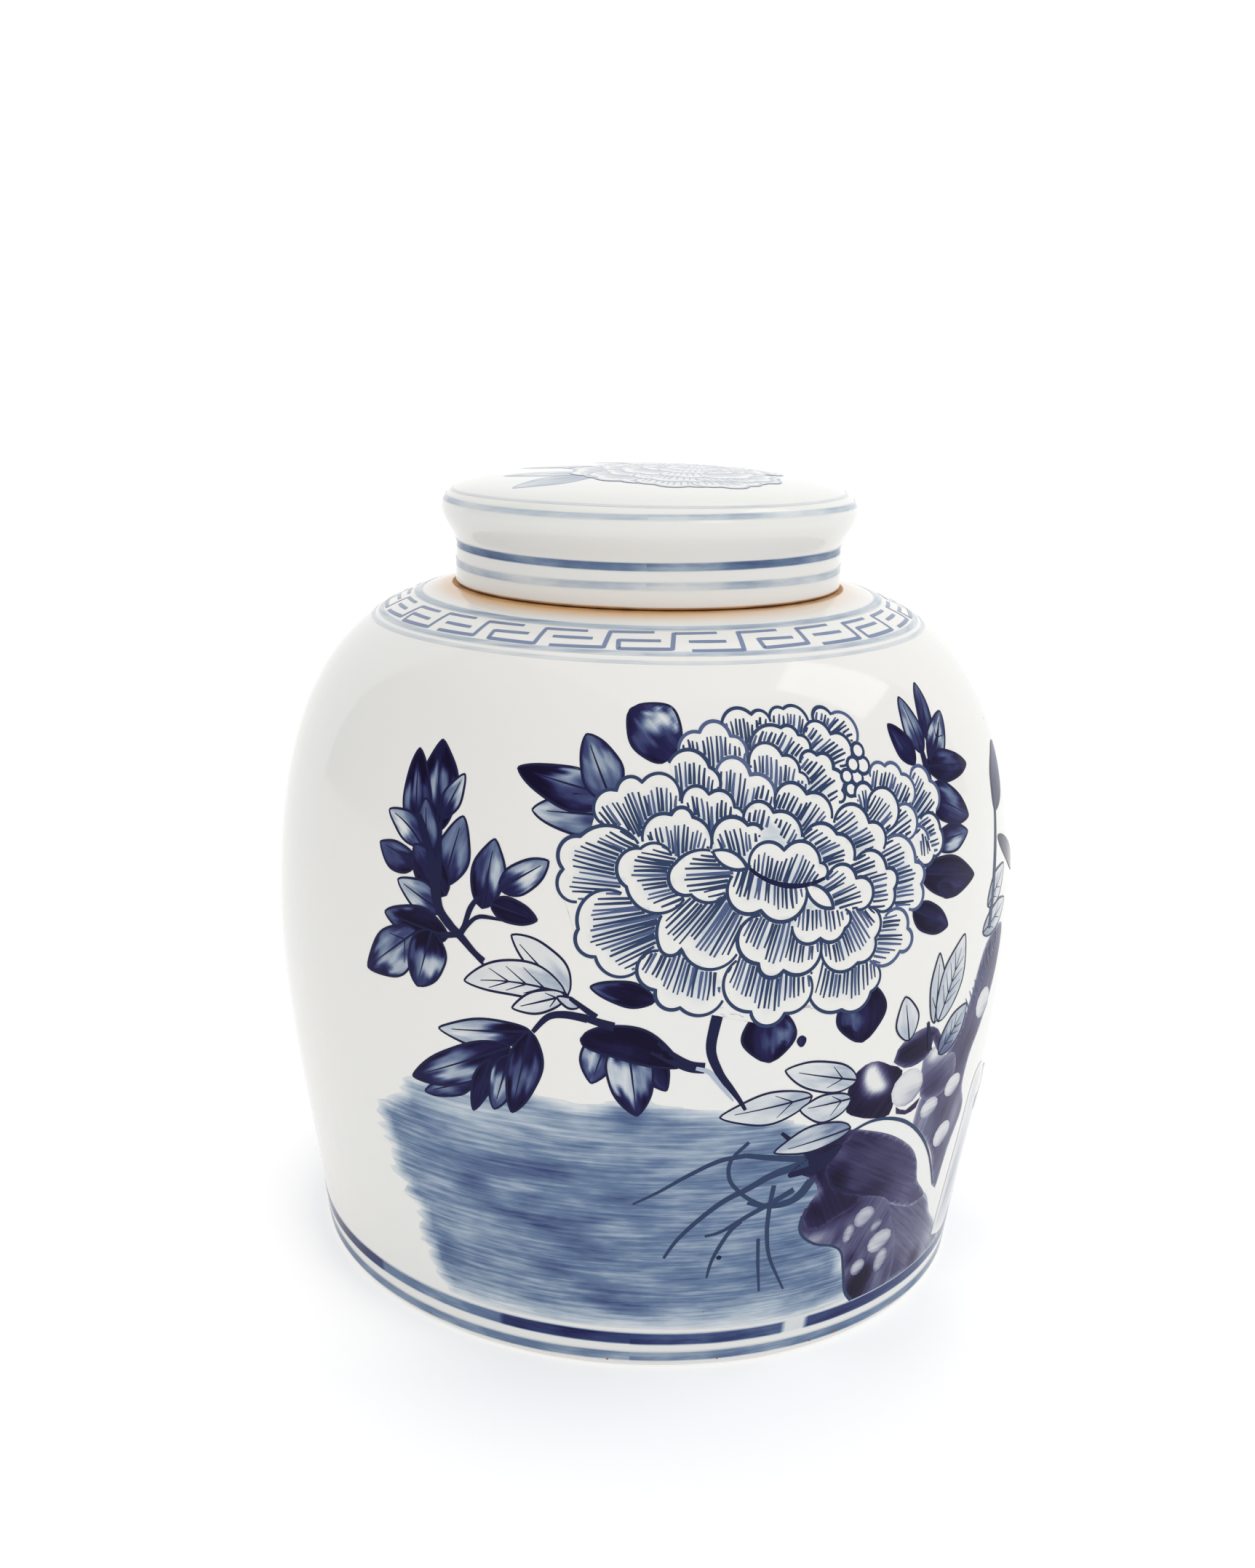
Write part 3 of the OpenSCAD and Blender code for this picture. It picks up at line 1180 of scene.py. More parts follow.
studio = {
    "world": 0.97,
    "sides": 0.6,          # the room is darker to the left and right, so the jar's edges show
    "floor": (0.78, 0.78, 0.78),
    "glow": 0.34,
    "backdrop": 2.6,       # how far behind the jar the lit paper stands
    "lights": [
        # name, place, size across and up, power, colour
        ("ceiling", (0.2, 0.1, 1.9), (1.6, 1.6), 3.0, (1.0, 1.0, 1.0)),
        ("window", (0.75, -1.0, 1.0), (0.5, 0.7), 2.2, (1.0, 0.99, 0.97)),
        ("lamp", (0.78, 0.12, 1.0), (0.46, 0.56), 1.5, (1.0, 1.0, 1.0)),
    ],
}


def newSheet(name, materialName, bm, roughness, glow):
    # a plain sheet that gives some light of its own, so it stays white
    mesh = bpy.data.meshes.new(name)
    bm.to_mesh(mesh)
    bm.free()
    sheet = bpy.data.objects.new(name, mesh)
    scene.collection.objects.link(sheet)
    material = bpy.data.materials.new(materialName)
    material.use_nodes = True
    shader = material.node_tree.nodes["Principled BSDF"]
    shader.inputs["Roughness"].default_value = roughness
    shader.inputs["Emission Color"].default_value = (1, 1, 1, 1)
    shader.inputs["Emission Strength"].default_value = glow
    mesh.materials.append(material)
    return sheet, material.node_tree, shader


def makeStudio():
    world = bpy.data.worlds.new("studio")
    world.use_nodes = True
    tree = world.node_tree
    background = tree.nodes["Background"]
    coords = addNode(tree, "ShaderNodeTexCoord")
    split = addNode(tree, "ShaderNodeSeparateXYZ")
    tree.links.new(coords.outputs["Generated"], split.inputs["Vector"])
    aside = mathNode(tree, "ABSOLUTE", split.outputs["X"])
    dim = (studio["sides"],) * 3
    ramp = addRamp(tree, [(0.3, (1, 1, 1)), (0.75, dim)])
    tree.links.new(aside, ramp.inputs["Fac"])
    tree.links.new(ramp.outputs["Color"], background.inputs["Color"])
    background.inputs["Strength"].default_value = studio["world"]
    scene.world = world
    scene.view_settings.view_transform = "Standard"
    for name, place, size, power, colour in studio["lights"]:
        data = bpy.data.lights.new(name, "AREA")
        data.shape = "RECTANGLE"
        data.size, data.size_y = size
        data.energy = power
        data.color = colour
        light = bpy.data.objects.new(name, data)
        light.location = place
        aim = Vector((0, 0, 0.1)) - Vector(place)
        light.rotation_euler = aim.to_track_quat("-Z", "Y").to_euler()
        scene.collection.objects.link(light)
    bm = bmesh.new()
    bmesh.ops.create_circle(bm, cap_ends=True, radius=6.0, segments=96)
    floor, tree, shader = newSheet("floor", "paleFloor", bm, 0.7, studio["glow"])
    noise = addNode(tree, "ShaderNodeTexNoise", in_Scale=3.0)
    low = tuple(c * 0.985 for c in studio["floor"])
    ramp = addRamp(tree, [(0.3, low), (0.7, studio["floor"])])
    tree.links.new(noise.outputs["Fac"], ramp.inputs["Fac"])
    tree.links.new(ramp.outputs["Color"], shader.inputs["Base Color"])
    bm = bmesh.new()
    bmesh.ops.create_grid(bm, x_segments=1, y_segments=1, size=5.0)
    bmesh.ops.rotate(bm, verts=bm.verts, matrix=Matrix.Rotation(math.pi / 2, 3, "X"))
    bmesh.ops.translate(bm, verts=bm.verts, vec=(0, studio["backdrop"], 0))
    backdrop, tree, shader = newSheet("backdrop", "litPaper", bm, 1.0, 1.0)
    shader.inputs["Base Color"].default_value = (0.1, 0.1, 0.1, 1)


makeStudio()
print("camera and studio set")

# the peony

peonyPetals = [
    newPetal((46, 154), (51, 159.5), [(57.5, 153, 0.54)]),
    newPetal((42, 150), (46.5, 160), [(52.5, 160.5, 0.42)]),
    newPetal((34, 145), (34, 160.5), [(38.5, 163, 0.32), (44.5, 158, 0.38)]),
    newPetal((26, 140), (20.5, 159.5), [(29, 162, 0.33), (34, 160, 0.36)]),
    newPetal((18, 130), (9, 153.5), [(14.5, 158, 0.27), (22.5, 157, 0.39), (26, 152.5, 0.28)]),
    newPetal((38, 149), (42.5, 156), [(50.5, 156, 0.44), (51, 148.5, 0.67)]),
    newPetal((26, 145), (27, 153.5), [(36.5, 158.5, 0.27), (41, 156.5, 0.27), (43, 152, 0.34)]),
    newPetal(
        (32, 139), (40, 150), [(45, 151.5, 0.36), (49, 148, 0.36), (50.5, 143, 0.33), (49, 140.5, 0.42)],
    ),
    newPetal((30, 130), (26.5, 150.5), [(35.5, 152, 0.43), (39.5, 148, 0.27), (41.5, 145, 0.22)]),
    newPetal((20, 125), (18, 149), [(26.5, 148, 0.43), (32, 142, 0.32)]),
    newPetal((13, 128), (6.5, 151), [(16.5, 150, 0.35), (18, 144, 0.27)]),
    newPetal((2, 133), (-5.5, 137), [(-6, 144.5, 0.73), (0, 146.5, 0.34), (9, 142.5, 0.41)]),
    newPetal((17, 125), (9.5, 142), [(16, 144, 0.42), (22, 141, 0.33), (24, 138.5, 0.25)]),
    newPetal((28, 128), (32, 141), [(40.5, 143, 0.44), (46.5, 137, 0.31)]),
    newPetal((26, 126), (24, 138.5), [(31.5, 139.5, 0.41), (38, 132.5, 0.3)]),
    newPetal((64, 131), (73, 143.5), [(80, 141.5, 0.42), (80.5, 134.5, 0.35)]),
    newPetal((58, 132), (59.5, 145.5), [(65, 147, 0.33), (70, 144.5, 0.3), (72, 137.5, 0.36)]),
    newPetal((56.5, 136), (54, 141), [(58.5, 139.5, 0.84)]),
    newPetal((66, 128), (74, 133.5), [(81, 130, 0.32), (76, 124.5, 0.41)]),
    newPetal((63, 127), (70.5, 131.5), [(71, 125, 0.8)]),
    newPetal((74, 131), (71.5, 124.5), [(77.5, 124.5, 0.35)]),
    newPetal((55, 129), (64.5, 134.5), [(68.5, 129.5, 1.05)]),
    newPetal((52, 131), (57, 137.5), [(62, 132.5, 1.19)]),
    newPetal((45, 121), (61, 130), [(70.5, 124, 0.33), (72, 118.5, 0.38), (67.5, 113.5, 0.41)]),
    newPetal((38, 130), (47, 136), [(57, 135, 0.42), (60.5, 128.5, 0.36)]),
    newPetal((30, 127), (38.5, 133.5), [(47.5, 133.5, 0.31), (51, 126, 0.31)]),
    newPetal((38, 121), (52, 127), [(61, 124, 0.34), (63, 119, 0.4), (57.5, 115, 0.38)]),
    newPetal((50, 120), (40, 103), [(48, 93, 0.34), (56, 96, 0.28), (57.5, 102, 0.3)]),
    newPetal((45, 110), (60, 113), [(67, 109, 0.4), (64.5, 104, 0.5), (55.5, 103.5, 0.25)]),
    newPetal((6, 127), (-0.5, 133), [(-14, 134, 0.24), (-17.5, 126.5, 0.37), (-14, 119.5, 0.37)]),
    newPetal((9, 118), (-4, 122), [(-13.5, 113.5, 0.33), (-9.5, 107.5, 0.33), (0, 105, 0.3)]),
    newPetal((13, 122), (4.5, 109.5), [(4, 100.5, 0.5), (9.5, 96.5, 0.33), (19, 98, 0.27)]),
    newPetal((32, 122), (22, 107), [(25.5, 95, 0.37), (33.5, 94, 0.39), (39.5, 102, 0.32)]),
    newPetal((9, 127), (0.5, 133.5), [(7, 139.5, 0.3), (12, 139, 0.38), (16, 132, 0.23)]),
    newPetal((25, 122), (16.5, 133), [(25, 137, 0.41), (28.5, 133, 0.36)]),
    newPetal((26, 131), (10, 121.5), [(5, 109.5, 0.24), (9.5, 110, 0.3), (22, 108.5, 0.32)]),
    newPetal((12, 126), (7, 131), [(0, 132, 0.25), (-3, 123.5, 0.42), (10, 121, 0.33)]),
    newPetal((27, 126), (16.5, 131.5), [(8, 129, 0.15), (11.5, 122, 0.42), (20, 122.5, 0.24)]),
    newPetal((46, 120), (42.5, 109.5), [(52, 103.5, 0.38), (57, 108.5, 0.3), (53.5, 116, 0.4)]),
    newPetal((37, 130), (27.5, 117), [(27, 106, 0.47), (33, 104, 0.38), (42, 110, 0.38)]),
    newPetal((42, 130), (35, 114), [(42, 110.5, 0.33), (48.5, 112, 0.29), (47.5, 116.5, 0.45)]),
    newPetal((31, 138), (21, 126), [(27.5, 118, 0.42), (38.5, 123, 0.44)]),
    newPetal((38, 118), (44, 123.5), [(52, 123, 0.42), (51.5, 116, 0.7)]),
    {"almond": ((16.5, 131.5), (24.5, 127.5), 0.2)},
    {"almond": ((38.5, 123), (45.5, 117), 0.2)},
    newPetal(
        (29, 116), (25, 127.5), [(33.5, 131, 0.41), (42.5, 127.5, 0.35), (43.5, 124, 0.36)], fold=-0.14,
    ),
]

peonySeeds = [
    (57.5, 151.5, 1.8),
    (55, 148.5, 1.7),
    (58, 148, 2),
    (52.5, 146, 1.6),
    (55.5, 145.5, 1.7),
    (53, 143, 1.6),
]

peonyLook = {
    "dice": 4,
    "seedsAfter": 8,
    "spacing": 1.28,
    "aim": 1.7,
    "margin": (0.9, 3.6),      # white left between the hatching and the rim
    "share": 0.37,
    "outline": 0.84,
    "hatch": 0.66,
    "outlineInk": 1,
    "hatchInk": 1,
    "lift": 0.085,
    "tint": 0.17,
    "centre": (31, 128),
    "reach": 60,
}

paintBloom(("peonyWhite", "peonyLines"), peonyPetals, peonySeeds, peonyLook)
print("peony painted")

# leaves on the left and behind the peony

branchLeaves = [
    # the top of the left branch
    newLeaf((-50, 131), (-54, 152), (5.4, 5.6), (0.92, 0.3, 0.5, 1.0), cap=0.6),
    newLeaf((-56, 129), (-60.5, 149), (4.0, 4.4), (0.88, 0.4, 0.6, 1.0), cap=0.62),
    newLeaf((-49.5, 134), (-45, 145), (2.6, 2.6), (0.85, 0.45, 0.3, 0.15)),
    newLeaf((-52, 124), (-55, 138), (3.4, 3.4), (0.75, 0.55, 0.5, 0.6)),
    newLeaf((-54, 127), (-66, 133.5), (3.2, 3.0), (0.7, 0.12, 0.5, 0.3), bow=-1.0),
    newLeaf((-47, 119), (-43.5, 135.5), (4.2, 4.6), (0.8, 0.5, 0.45, 0.5)),
    newLeaf((-55, 123), (-67.5, 125.5), (4.6, 2.2), (0.9, 0.7, 0.55, 0.6)),
    newLeaf((-46, 117), (-56.5, 127), (4.4, 4.4), (0.95, 0.85, 0.85, 0.7)),
    newLeaf((-47, 113), (-60.5, 118), (3.2, 3.6), (0.7, 0.2, 0.4, 0.2)),
    # the spray to its right
    newLeaf((-36.5, 115.5), (-34.5, 131.5), (4.2, 4.2), (0.9, 0.65, 0.25, 0.5)),
    newLeaf((-32.5, 120.5), (-21, 128), (3.2, 3.8), (0.8, 0.3, 0.15, 0.5)),
    newLeaf((-34.5, 117), (-23, 114.5), (2.8, 2.8), (0.95, 0.9, 0.9, 0.85)),
    # the round cluster on the far left
    newLeaf((-45, 107.5), (-64, 109.5), (4.0, 4.4), (0.98, 0.72, 0.4, 0.6), tongue=0.9),
    newLeaf((-54, 107), (-69.5, 94.5), (6.2, 4.8), (0.62, 0.24, 0.42, 0.8), veins=1),
    newLeaf((-49.5, 108), (-53.5, 94), (5.8, 4.8), (1.0, 0.22, 0.5, 0.75), full=0.66),
]

branchStems = [
    newStroke(
        [(-56, 134), (-53, 129), (-50, 122), (-48, 114), (-44, 110), (-39, 105.5), (-35.5, 102.5)],
        (1, 2.0, 3.2, 2.2, 1.4, 0.6),
    ),
    newStroke([(-49.5, 134), (-49, 127), (-48, 120)], (0.8, 1.4, 1.4)),
    newStroke([(-43, 108), (-41, 110.5), (-39.5, 115), (-37.5, 118)], (0.7, 1.2, 1.4, 1.0)),
    newStroke([(-42, 107.5), (-40, 111), (-37, 113.5), (-31, 113.5)], (0.6, 1.0, 1.0, 0.5)),
    newStroke([(-48, 113.5), (-45, 110.5), (-41.5, 108), (-38, 105), (-35.5, 103.5)], (2.4, 2.0, 1.3)),
    newStroke([(-47, 107.5), (-44.5, 108), (-42, 108.5)], (1.6, 1.2)),
]
paintLeaves("branchLeaves", branchLeaves, branchStems)

paleLeaves = finer(
    [
        newLeaf((-15.5, 98), (-29, 110.5), (2.4, 5.2), (0.2, 0.1, 0.1, 0.08), veins=0),
        newLeaf((-16, 98.5), (-40.5, 98), (3.2, 5.4), (0.2, 0.1, 0.08, 0.08), veins=3, bow=-1.4),
        newLeaf((-16, 98), (-28.5, 93.5), (2.6, 2.6), (0.2, 0.1, 0.1, 0.08), veins=1),
        newLeaf((-13, 95.5), (-18, 97.5), (1.2, 1.2), (0.3, 0.2, 0.2, 0.2), rib=False),
    ],
    line=0.6, edge=0.05,
)
paleStems = [
    newStroke([(-23.5, 88.5), (-20, 92.5), (-16, 93.5), (-11, 93)], (1.0, 1.5, 1.8, 2.0)),
    newStroke([(-15, 97.5), (-12, 95.5), (-9, 93.5)], (1.0, 1.3, 1.6)),
]
paintLeaves("paleLeaves", paleLeaves, paleStems)

lowLeaves = [
    newLeaf((-24, 88.5), (-47.5, 85), (4.2, 2.8), (0.9, 0.2, 0.3, 0.3)),
    newLeaf((-38, 74), (-52.5, 67.5), (2.6, 2.2), (0.8, 0.5, 0.5, 0.7)),
    newLeaf((-29, 84), (-56, 70.5), (5.2, 4.0), (0.95, 0.3, 0.5, 0.85)),
    newLeaf((-34, 80), (-39, 66), (2.3, 2.3), (0.9, 0.85, 0.85, 0.8)),
    newLeaf((-29, 82), (-33.5, 67.5), (3.4, 3.2), (0.9, 0.3, 0.25, 0.6)),
    newLeaf((-24, 88.5), (-29, 67.5), (4.6, 3.4), (0.95, 0.6, 0.55, 0.9)),
    # the drooping group under the node
    newLeaf((-6, 90), (-10, 77.5), (3.2, 4.6), (0.9, 0.6, 0.22, 0.6)),
    newLeaf((0, 89), (7, 76.5), (3.4, 3.6), (1.0, 0.9, 0.75, 0.8)),
    newLeaf((-2, 89), (0.5, 70), (5.0, 5.8), (0.98, 0.35, 0.14, 0.85), tongue=0.4),
    newLeaf((-12.5, 88), (10, 82.5), (4.8, 3.4), (1.0, 1.0, 0.96, 1.0), bow=1.6, full=0.6, rib=False),
]
lowStems = [
    newStroke([(4, 87), (8, 84.5), (12, 82.5), (15.5, 82)], (3.4, 2.8, 2.6)),
    newStroke([(-5, 91.5), (-9, 92.5), (-13, 93.5)], (2.2, 1.8, 1.2)),
    newStroke(
        [(19.4, 100), (17.4, 92), (16.8, 86), (19, 80.5), (21.5, 77), (24, 73.5), (25.5, 71)],
        (2.2, 2.6, 2.4, 2.0, 1.5, 0.8),
    ),
    newStroke([(13.5, 82), (16.5, 81), (19, 78), (22.5, 73.5)], (0.9, 1.2, 0.9, 0.3), ink=4, over=1),
]
paintLeaves("lowLeaves", lowLeaves, lowStems)

hiddenLeaves = [
    # leaves that come out from behind the flower: left, top, below
    newLeaf((-6, 139), (-26, 139), (4.6, 4.4), (0.7, 0.4, 0.5, 0.25)),
    newLeaf((-6, 143), (-31, 148), (5.4, 3.8), (0.7, 0.75, 0.28, 1.0), cap=0.6),
    newLeaf((-7, 142), (-14.5, 157), (4.4, 5.4), (0.6, 0.42, 0.36, 0.66)),
    newLeaf((7, 152), (-3.5, 163.5), (5.2, 8.4), (0.8, 0.62, 0.14, 0.8), full=0.55, rib=False),
    newLeaf((4, 98), (-10.5, 100.5), (2.6, 3.0), (0.95, 0.95, 0.9, 0.6), rib=False),
    newLeaf((30, 95), (30.5, 82.5), (6.2, 6.4), (0.9, 0.5, 0.9, 0.9), full=0.6, rib=False),
    newLeaf((53, 98), (54.5, 84), (7.0, 6.6), (0.95, 0.9, 0.6, 0.95), full=0.6, rib=False),
    newLeaf((38, 88), (38.2, 85.5), (0.9, 0.9), (0.8, 0.8, 0.8, 0.8), rib=False),
]
paintLeaves("hiddenLeaves", hiddenLeaves, [])

rightLeaves = [
    newLeaf((80, 148), (79.5, 162.5), (3.8, 3.2), (0.7, 0.25, 0.4, 0.5)),
    newLeaf((76, 146), (70.5, 156.5), (3.0, 3.4), (0.85, 0.75, 0.8, 0.9)),
    newLeaf((84, 150), (90.5, 165), (2.8, 2.8), (0.8, 0.65, 0.6, 0.6)),
    newLeaf((82, 146), (95.5, 156.5), (3.2, 3.6), (0.8, 0.2, 0.25, 0.6), veins=2),
    newLeaf((80, 145), (99.5, 142.5), (3.8, 3.8), (0.9, 0.65, 0.75, 0.85)),
    newLeaf((78, 139), (95, 130.5), (4.8, 4.6), (0.85, 0.45, 0.75, 0.8)),
    newLeaf((78, 127), (93.5, 127), (3.2, 3.4), (0.9, 0.75, 0.3, 0.6)),
    newLeaf((72, 121), (95, 116), (4.4, 5.2), (0.95, 0.85, 0.8, 0.85)),
    newLeaf((69, 113), (82, 106.5), (3.4, 3.8), (0.95, 0.9, 0.9, 0.8)),
    newLeaf((78, 117), (85.5, 113.5), (1.8, 1.8), (0.9, 0.9, 0.9, 0.9), rib=False),
]
rightStems = [
    newStroke([(80, 150), (80, 144), (79, 136)], (1.4, 2.4, 2.6)),
    newStroke([(82, 146), (88, 150), (92, 154)], (1.0, 0.8, 0.4)),
]
paintLeaves("rightLeaves", rightLeaves, rightStems)
print("leaves painted")

# water, rock and roots

waterValues = {
    "outline": [
        (-50, 72), (-56, 70), (-60, 66), (-68, 60), (-69, 53), (-66, 47), (-67, 43), (-63, 38), (-62, 34),
        (-58, 30), (-60, 25), (-56, 21), (-57, 17), (-53, 13), (-52, 11), (0, 11), (63, 11), (60, 22),
        (58, 30), (56, 45), (48, 58), (38, 66), (28, 70), (12, 72), (0, 74), (-12, 72), (-30, 74), (-40, 72),
    ],
    "ragged": 2.2,
    "dice": 12,
    "step": 1.6,
    "base": 0.42,
    "fade": 3.4,
    "rimTone": 0.25,
    "cell": 1.6,
    "lift": 0.02,
    "blobs": [
        # middle, half width, half height, strength
        (-22, 53, 20, 2.4, 0.16), (-40, 46, 5, 4, 0.14), (-22, 39.5, 14, 2.6, 0.18), (-14, 33.5, 8, 3, 0.16),
        (-21, 27, 6, 3, 0.14), (-8, 21, 7, 3, 0.14), (0, 17, 9, 2.4, 0.16), (-52, 23, 4, 5, 0.12),
        (-3, 47, 9, 3, 0.12), (-1, 68, 4, 3, 0.16), (-45, 66, 14, 5, -0.12), (-20, 64, 20, 4, -0.10),
        (30, 58, 14, 5, 0.05), (30, 28, 20, 6, 0.06), (20, 14, 30, 3, -0.14), (-35, 14, 20, 3, -0.12),
        (-45, 32, 9, 4, -0.10), (15, 60, 12, 3, -0.1),
    ],
}
water = Painting("waterWash", onWall, wallStretch, [waterWash])
paintWash(water, waterValues)
water.finish("jar")

rockAreas = [
    # the column on the far right, low part and hairy top
    {
        "outline": [
            (77, 63), (76, 56), (80, 53), (88, 45), (94, 33), (97, 31), (99, 42), (103, 52), (99, 60),
            (100, 68), (105, 75), (113, 88), (116, 98), (105, 97.5), (99, 92), (95, 84), (91, 77),
            (85, 72), (80, 66),
        ],
        "base": 0.63, "fade": 1.0, "rimTone": 0.5, "lean": 65,
        "blobs": [(80, 57, 4, 5, -0.22), (90, 56, 4, 3, 0.12), (98, 52, 3, 6, -0.16), (108, 92, 5, 5, 0.14),
                  (95, 70, 4, 5, 0.12), (99, 74, 4, 3, 0.12)],
    },
    # the sweep of wash that runs down from the boulder to the right
    {
        "outline": [
            (60, 38), (72, 40), (84, 36), (92, 31), (97, 24), (104, 18), (110, 10), (76, 10), (70, 20),
            (66, 30),
        ],
        "base": 0.57, "fade": 1.8, "rimTone": 0.4, "lean": -38,
        "blobs": [(100, 15, 8, 6, -0.18), (93, 12, 3, 3, 0.35), (82, 14, 4, 6, 0.12)],
    },
    # the boulder
    {
        "outline": [
            (47, 50), (49, 56), (54, 61), (58, 60.5), (68, 56.5), (77, 50.5), (81.5, 45), (84, 38.5),
            (90, 32), (84, 31), (76, 34), (70, 37), (64, 39), (54, 43),
        ],
        "base": 0.73, "fade": 0.7, "rimTone": 0.5, "lean": -30,
        "blobs": [(58, 58, 8, 3, 0.08), (80, 38, 8, 6, -0.12), (52, 48, 4, 5, 0.3), (64, 42, 7, 3, 0.12),
                  (70, 53, 8, 3, -0.06), (52, 55, 2.4, 3, -0.12)],
    },
    # broken stones under it
    {
        "outline": [
            (44, 42), (43, 38), (44, 34.5), (48, 31), (54, 29), (58, 26.5), (59.5, 22), (61, 17), (63, 12.5),
            (65, 9.8), (79, 9.8), (81, 16), (79, 24), (75, 31), (72, 37), (66, 40), (58, 42), (50, 42),
        ],
        "base": 0.57, "fade": 0.8, "rimTone": 0.9, "lean": 60,
        "blobs": [(49, 32.5, 4, 2, -0.26), (57, 40, 6, 3.4, 0.4), (48, 39, 5, 4.4, 0.42),
                  (66, 13, 5, 5, 0.45), (69, 17, 3, 3, 0.35), (62, 23, 2, 2, 0.25),
                  (74, 15, 3, 5, -0.12), (78, 14, 2.4, 4, 0.1),
                  (56, 32, 2, 3, 0.1), (66, 26, 3, 3, 0.1)],
    },
    # the shadow between root and boulder
    {
        "outline": [
            (40, 55), (42, 58), (46, 59.5), (51, 61.5), (56, 61), (54, 58.5), (50, 56), (49, 52), (51, 47.5),
            (56, 44), (62, 41), (59, 38.5), (54, 37), (49, 35), (45, 36), (43.5, 39.5), (45, 43), (47, 46),
            (45, 50), (42, 51.5),
        ],
        "base": 0.90, "fade": 1.2, "rimTone": 0.75, "lean": -60,
        "blobs": [(47, 45.5, 1.8, 2.6, -0.34), (52, 60, 4, 2, -0.1), (48, 37.5, 4, 2, -0.06)],
    },
    # the heap above: a lumpy mass, a dark ball and an arch
    {
        "outline": [(76, 76), (80, 76.5), (84, 73), (90, 72), (92, 66), (87, 62), (79, 62.5), (76, 67)],
        "base": 0.62, "fade": 1.6, "rimTone": 0.7, "lean": 20,
        "blobs": [(80.5, 74.5, 3.6, 2.6, -0.55), (83, 65, 5, 2.6, 0.18), (88, 70, 3, 3, -0.1)],
    },
    {
        "outline": [(65, 76.5), (66, 79.5), (70, 82), (76, 82.8), (80.5, 81), (83, 77), (84, 73.5),
                    (81, 75.5), (79, 78.5), (78, 75.5), (74, 73.8), (69, 74)],
        "base": 0.92, "fade": 1.6, "rimTone": 0.6, "lean": 10,
        "blobs": [(71, 81.5, 5, 1.4, -0.25)],
    },
    {
        "outline": [(51.5, 70), (52.5, 75), (56, 77.8), (60, 78), (64, 76), (68.5, 73.5), (67, 67),
                    (66, 62.5), (60, 63), (55.5, 64.5), (52, 66.5)],
        "base": 0.95, "fade": 0.8, "rimTone": 0.9, "lean": 50, "cell": 1.0,
        "blobs": [(58.2, 75.4, 2.4, 2.8, -1.0), (59.8, 72.2, 3.2, 2.8, -0.9), (62.6, 70.6, 2.4, 1.8, -0.5)],
    },
    {
        "outline": [(68, 64), (72, 62), (77, 64), (76, 61.5), (72, 60.8), (68.5, 62)],
        "base": 0.9, "fade": 0.6, "rimTone": 0.8, "blobs": [],
    },
    # faint growth at the far edge of the front
    {
        "outline": [(104, 14), (118, 12), (124, 30), (122, 48), (116, 60), (108, 58), (106, 40)],
        "base": 0.16, "fade": 4.0, "lean": 60, "blobs": [(112, 30, 5, 10, 0.12)],
    },
]

stones = [
    # middle, half width, half height, tone
    (71.3, 68.2, 5.7, 4.9, 0.08), (92.3, 62.4, 4.1, 3.0, 0.10), (92, 48.8, 4.3, 3.5, 0.10),
    (104, 80.7, 4.6, 4.0, 0.10), (64, 34.6, 3.6, 2.9, 0.20), (59.4, 31, 1.9, 3.0, 0.24),
    (69.4, 30.4, 2.6, 1.9, 0.30), (72.3, 25, 4.8, 3.2, 0.16), (65.2, 19.6, 2.6, 2.3, 0.20),
    (74.4, 18.6, 2.8, 3.6, 0.24), (82, 59.6, 3.8, 2.8, 0.14),
]


def paintStone(art, place, size, tone, lift, blobs=()):
    # a pale pebble with a darker rim
    (a, b), (ra, rb) = place, size
    ring = [(a + ra * math.cos(k * math.pi / 6), b + rb * math.sin(k * math.pi / 6)) for k in range(12)]
    stone = {"outline": ring, "base": tone, "fade": 1.1, "rimTone": 2.0, "lift": lift, "cell": 0.8}
    paintWash(art, {**stone, "blobs": blobs})


rock = Painting("rockWash", onWall, wallStretch, [rockWash])
for k, area in enumerate(rockAreas):
    area["lift"] = 0.024 + 0.004 * k
    paintWash(rock, area)
for a, b, ra, rb, tone in stones:
    shade = (a + ra * 0.5, b - rb * 0.6, ra * 0.7, rb * 0.6, 0.16)
    paintStone(rock, (a, b), (ra, rb), tone, 0.066, [shade])
rock.finish("jar")

rockLines = Painting("rockLines", onWall, wallStretch, inks)
rockStrokes = [
    # the boulder's edge
    newStroke(
        [(55, 61), (60, 62.2), (66, 61.5), (73, 58.5), (80, 53), (87, 45), (94, 33.5)],
        (0.7, 1.0, 0.8, 0.5), ink=1,
    ),
    newStroke(
        [
            (43.5, 40), (43.3, 36.5), (45, 33.5), (49, 30.7), (54.5, 28.8), (58, 26), (60, 20), (62, 13.5),
            (65, 10),
        ],
        (0.8, 0.7, 0.6, 0.8, 1.0), ink=1,
    ),
    newStroke([(49, 52), (51, 47), (56, 44), (63, 41.5)], (0.5, 0.9, 0.5), ink=0),
]
for stroke in rockStrokes:
    paintLine(rockLines, smoothLine(stroke["line"]), stroke["widths"], stroke["ink"], 0.072)
hairs = random.Random(3)
for k in range(34):
    # short hairy strokes along the column's upper edge
    t = k / 33
    a, b = 91 + 20 * t + hairs.uniform(-1, 1), 78 + 18 * t + hairs.uniform(-1.5, 1.5)
    long = hairs.uniform(1.8, 3.4)
    paintLine(rockLines, smoothLine([(a, b), (a - long * 0.7, b + long)]), (0.5, 0.4, 0.2), 2, 0.07)
rockLines.finish("jar")

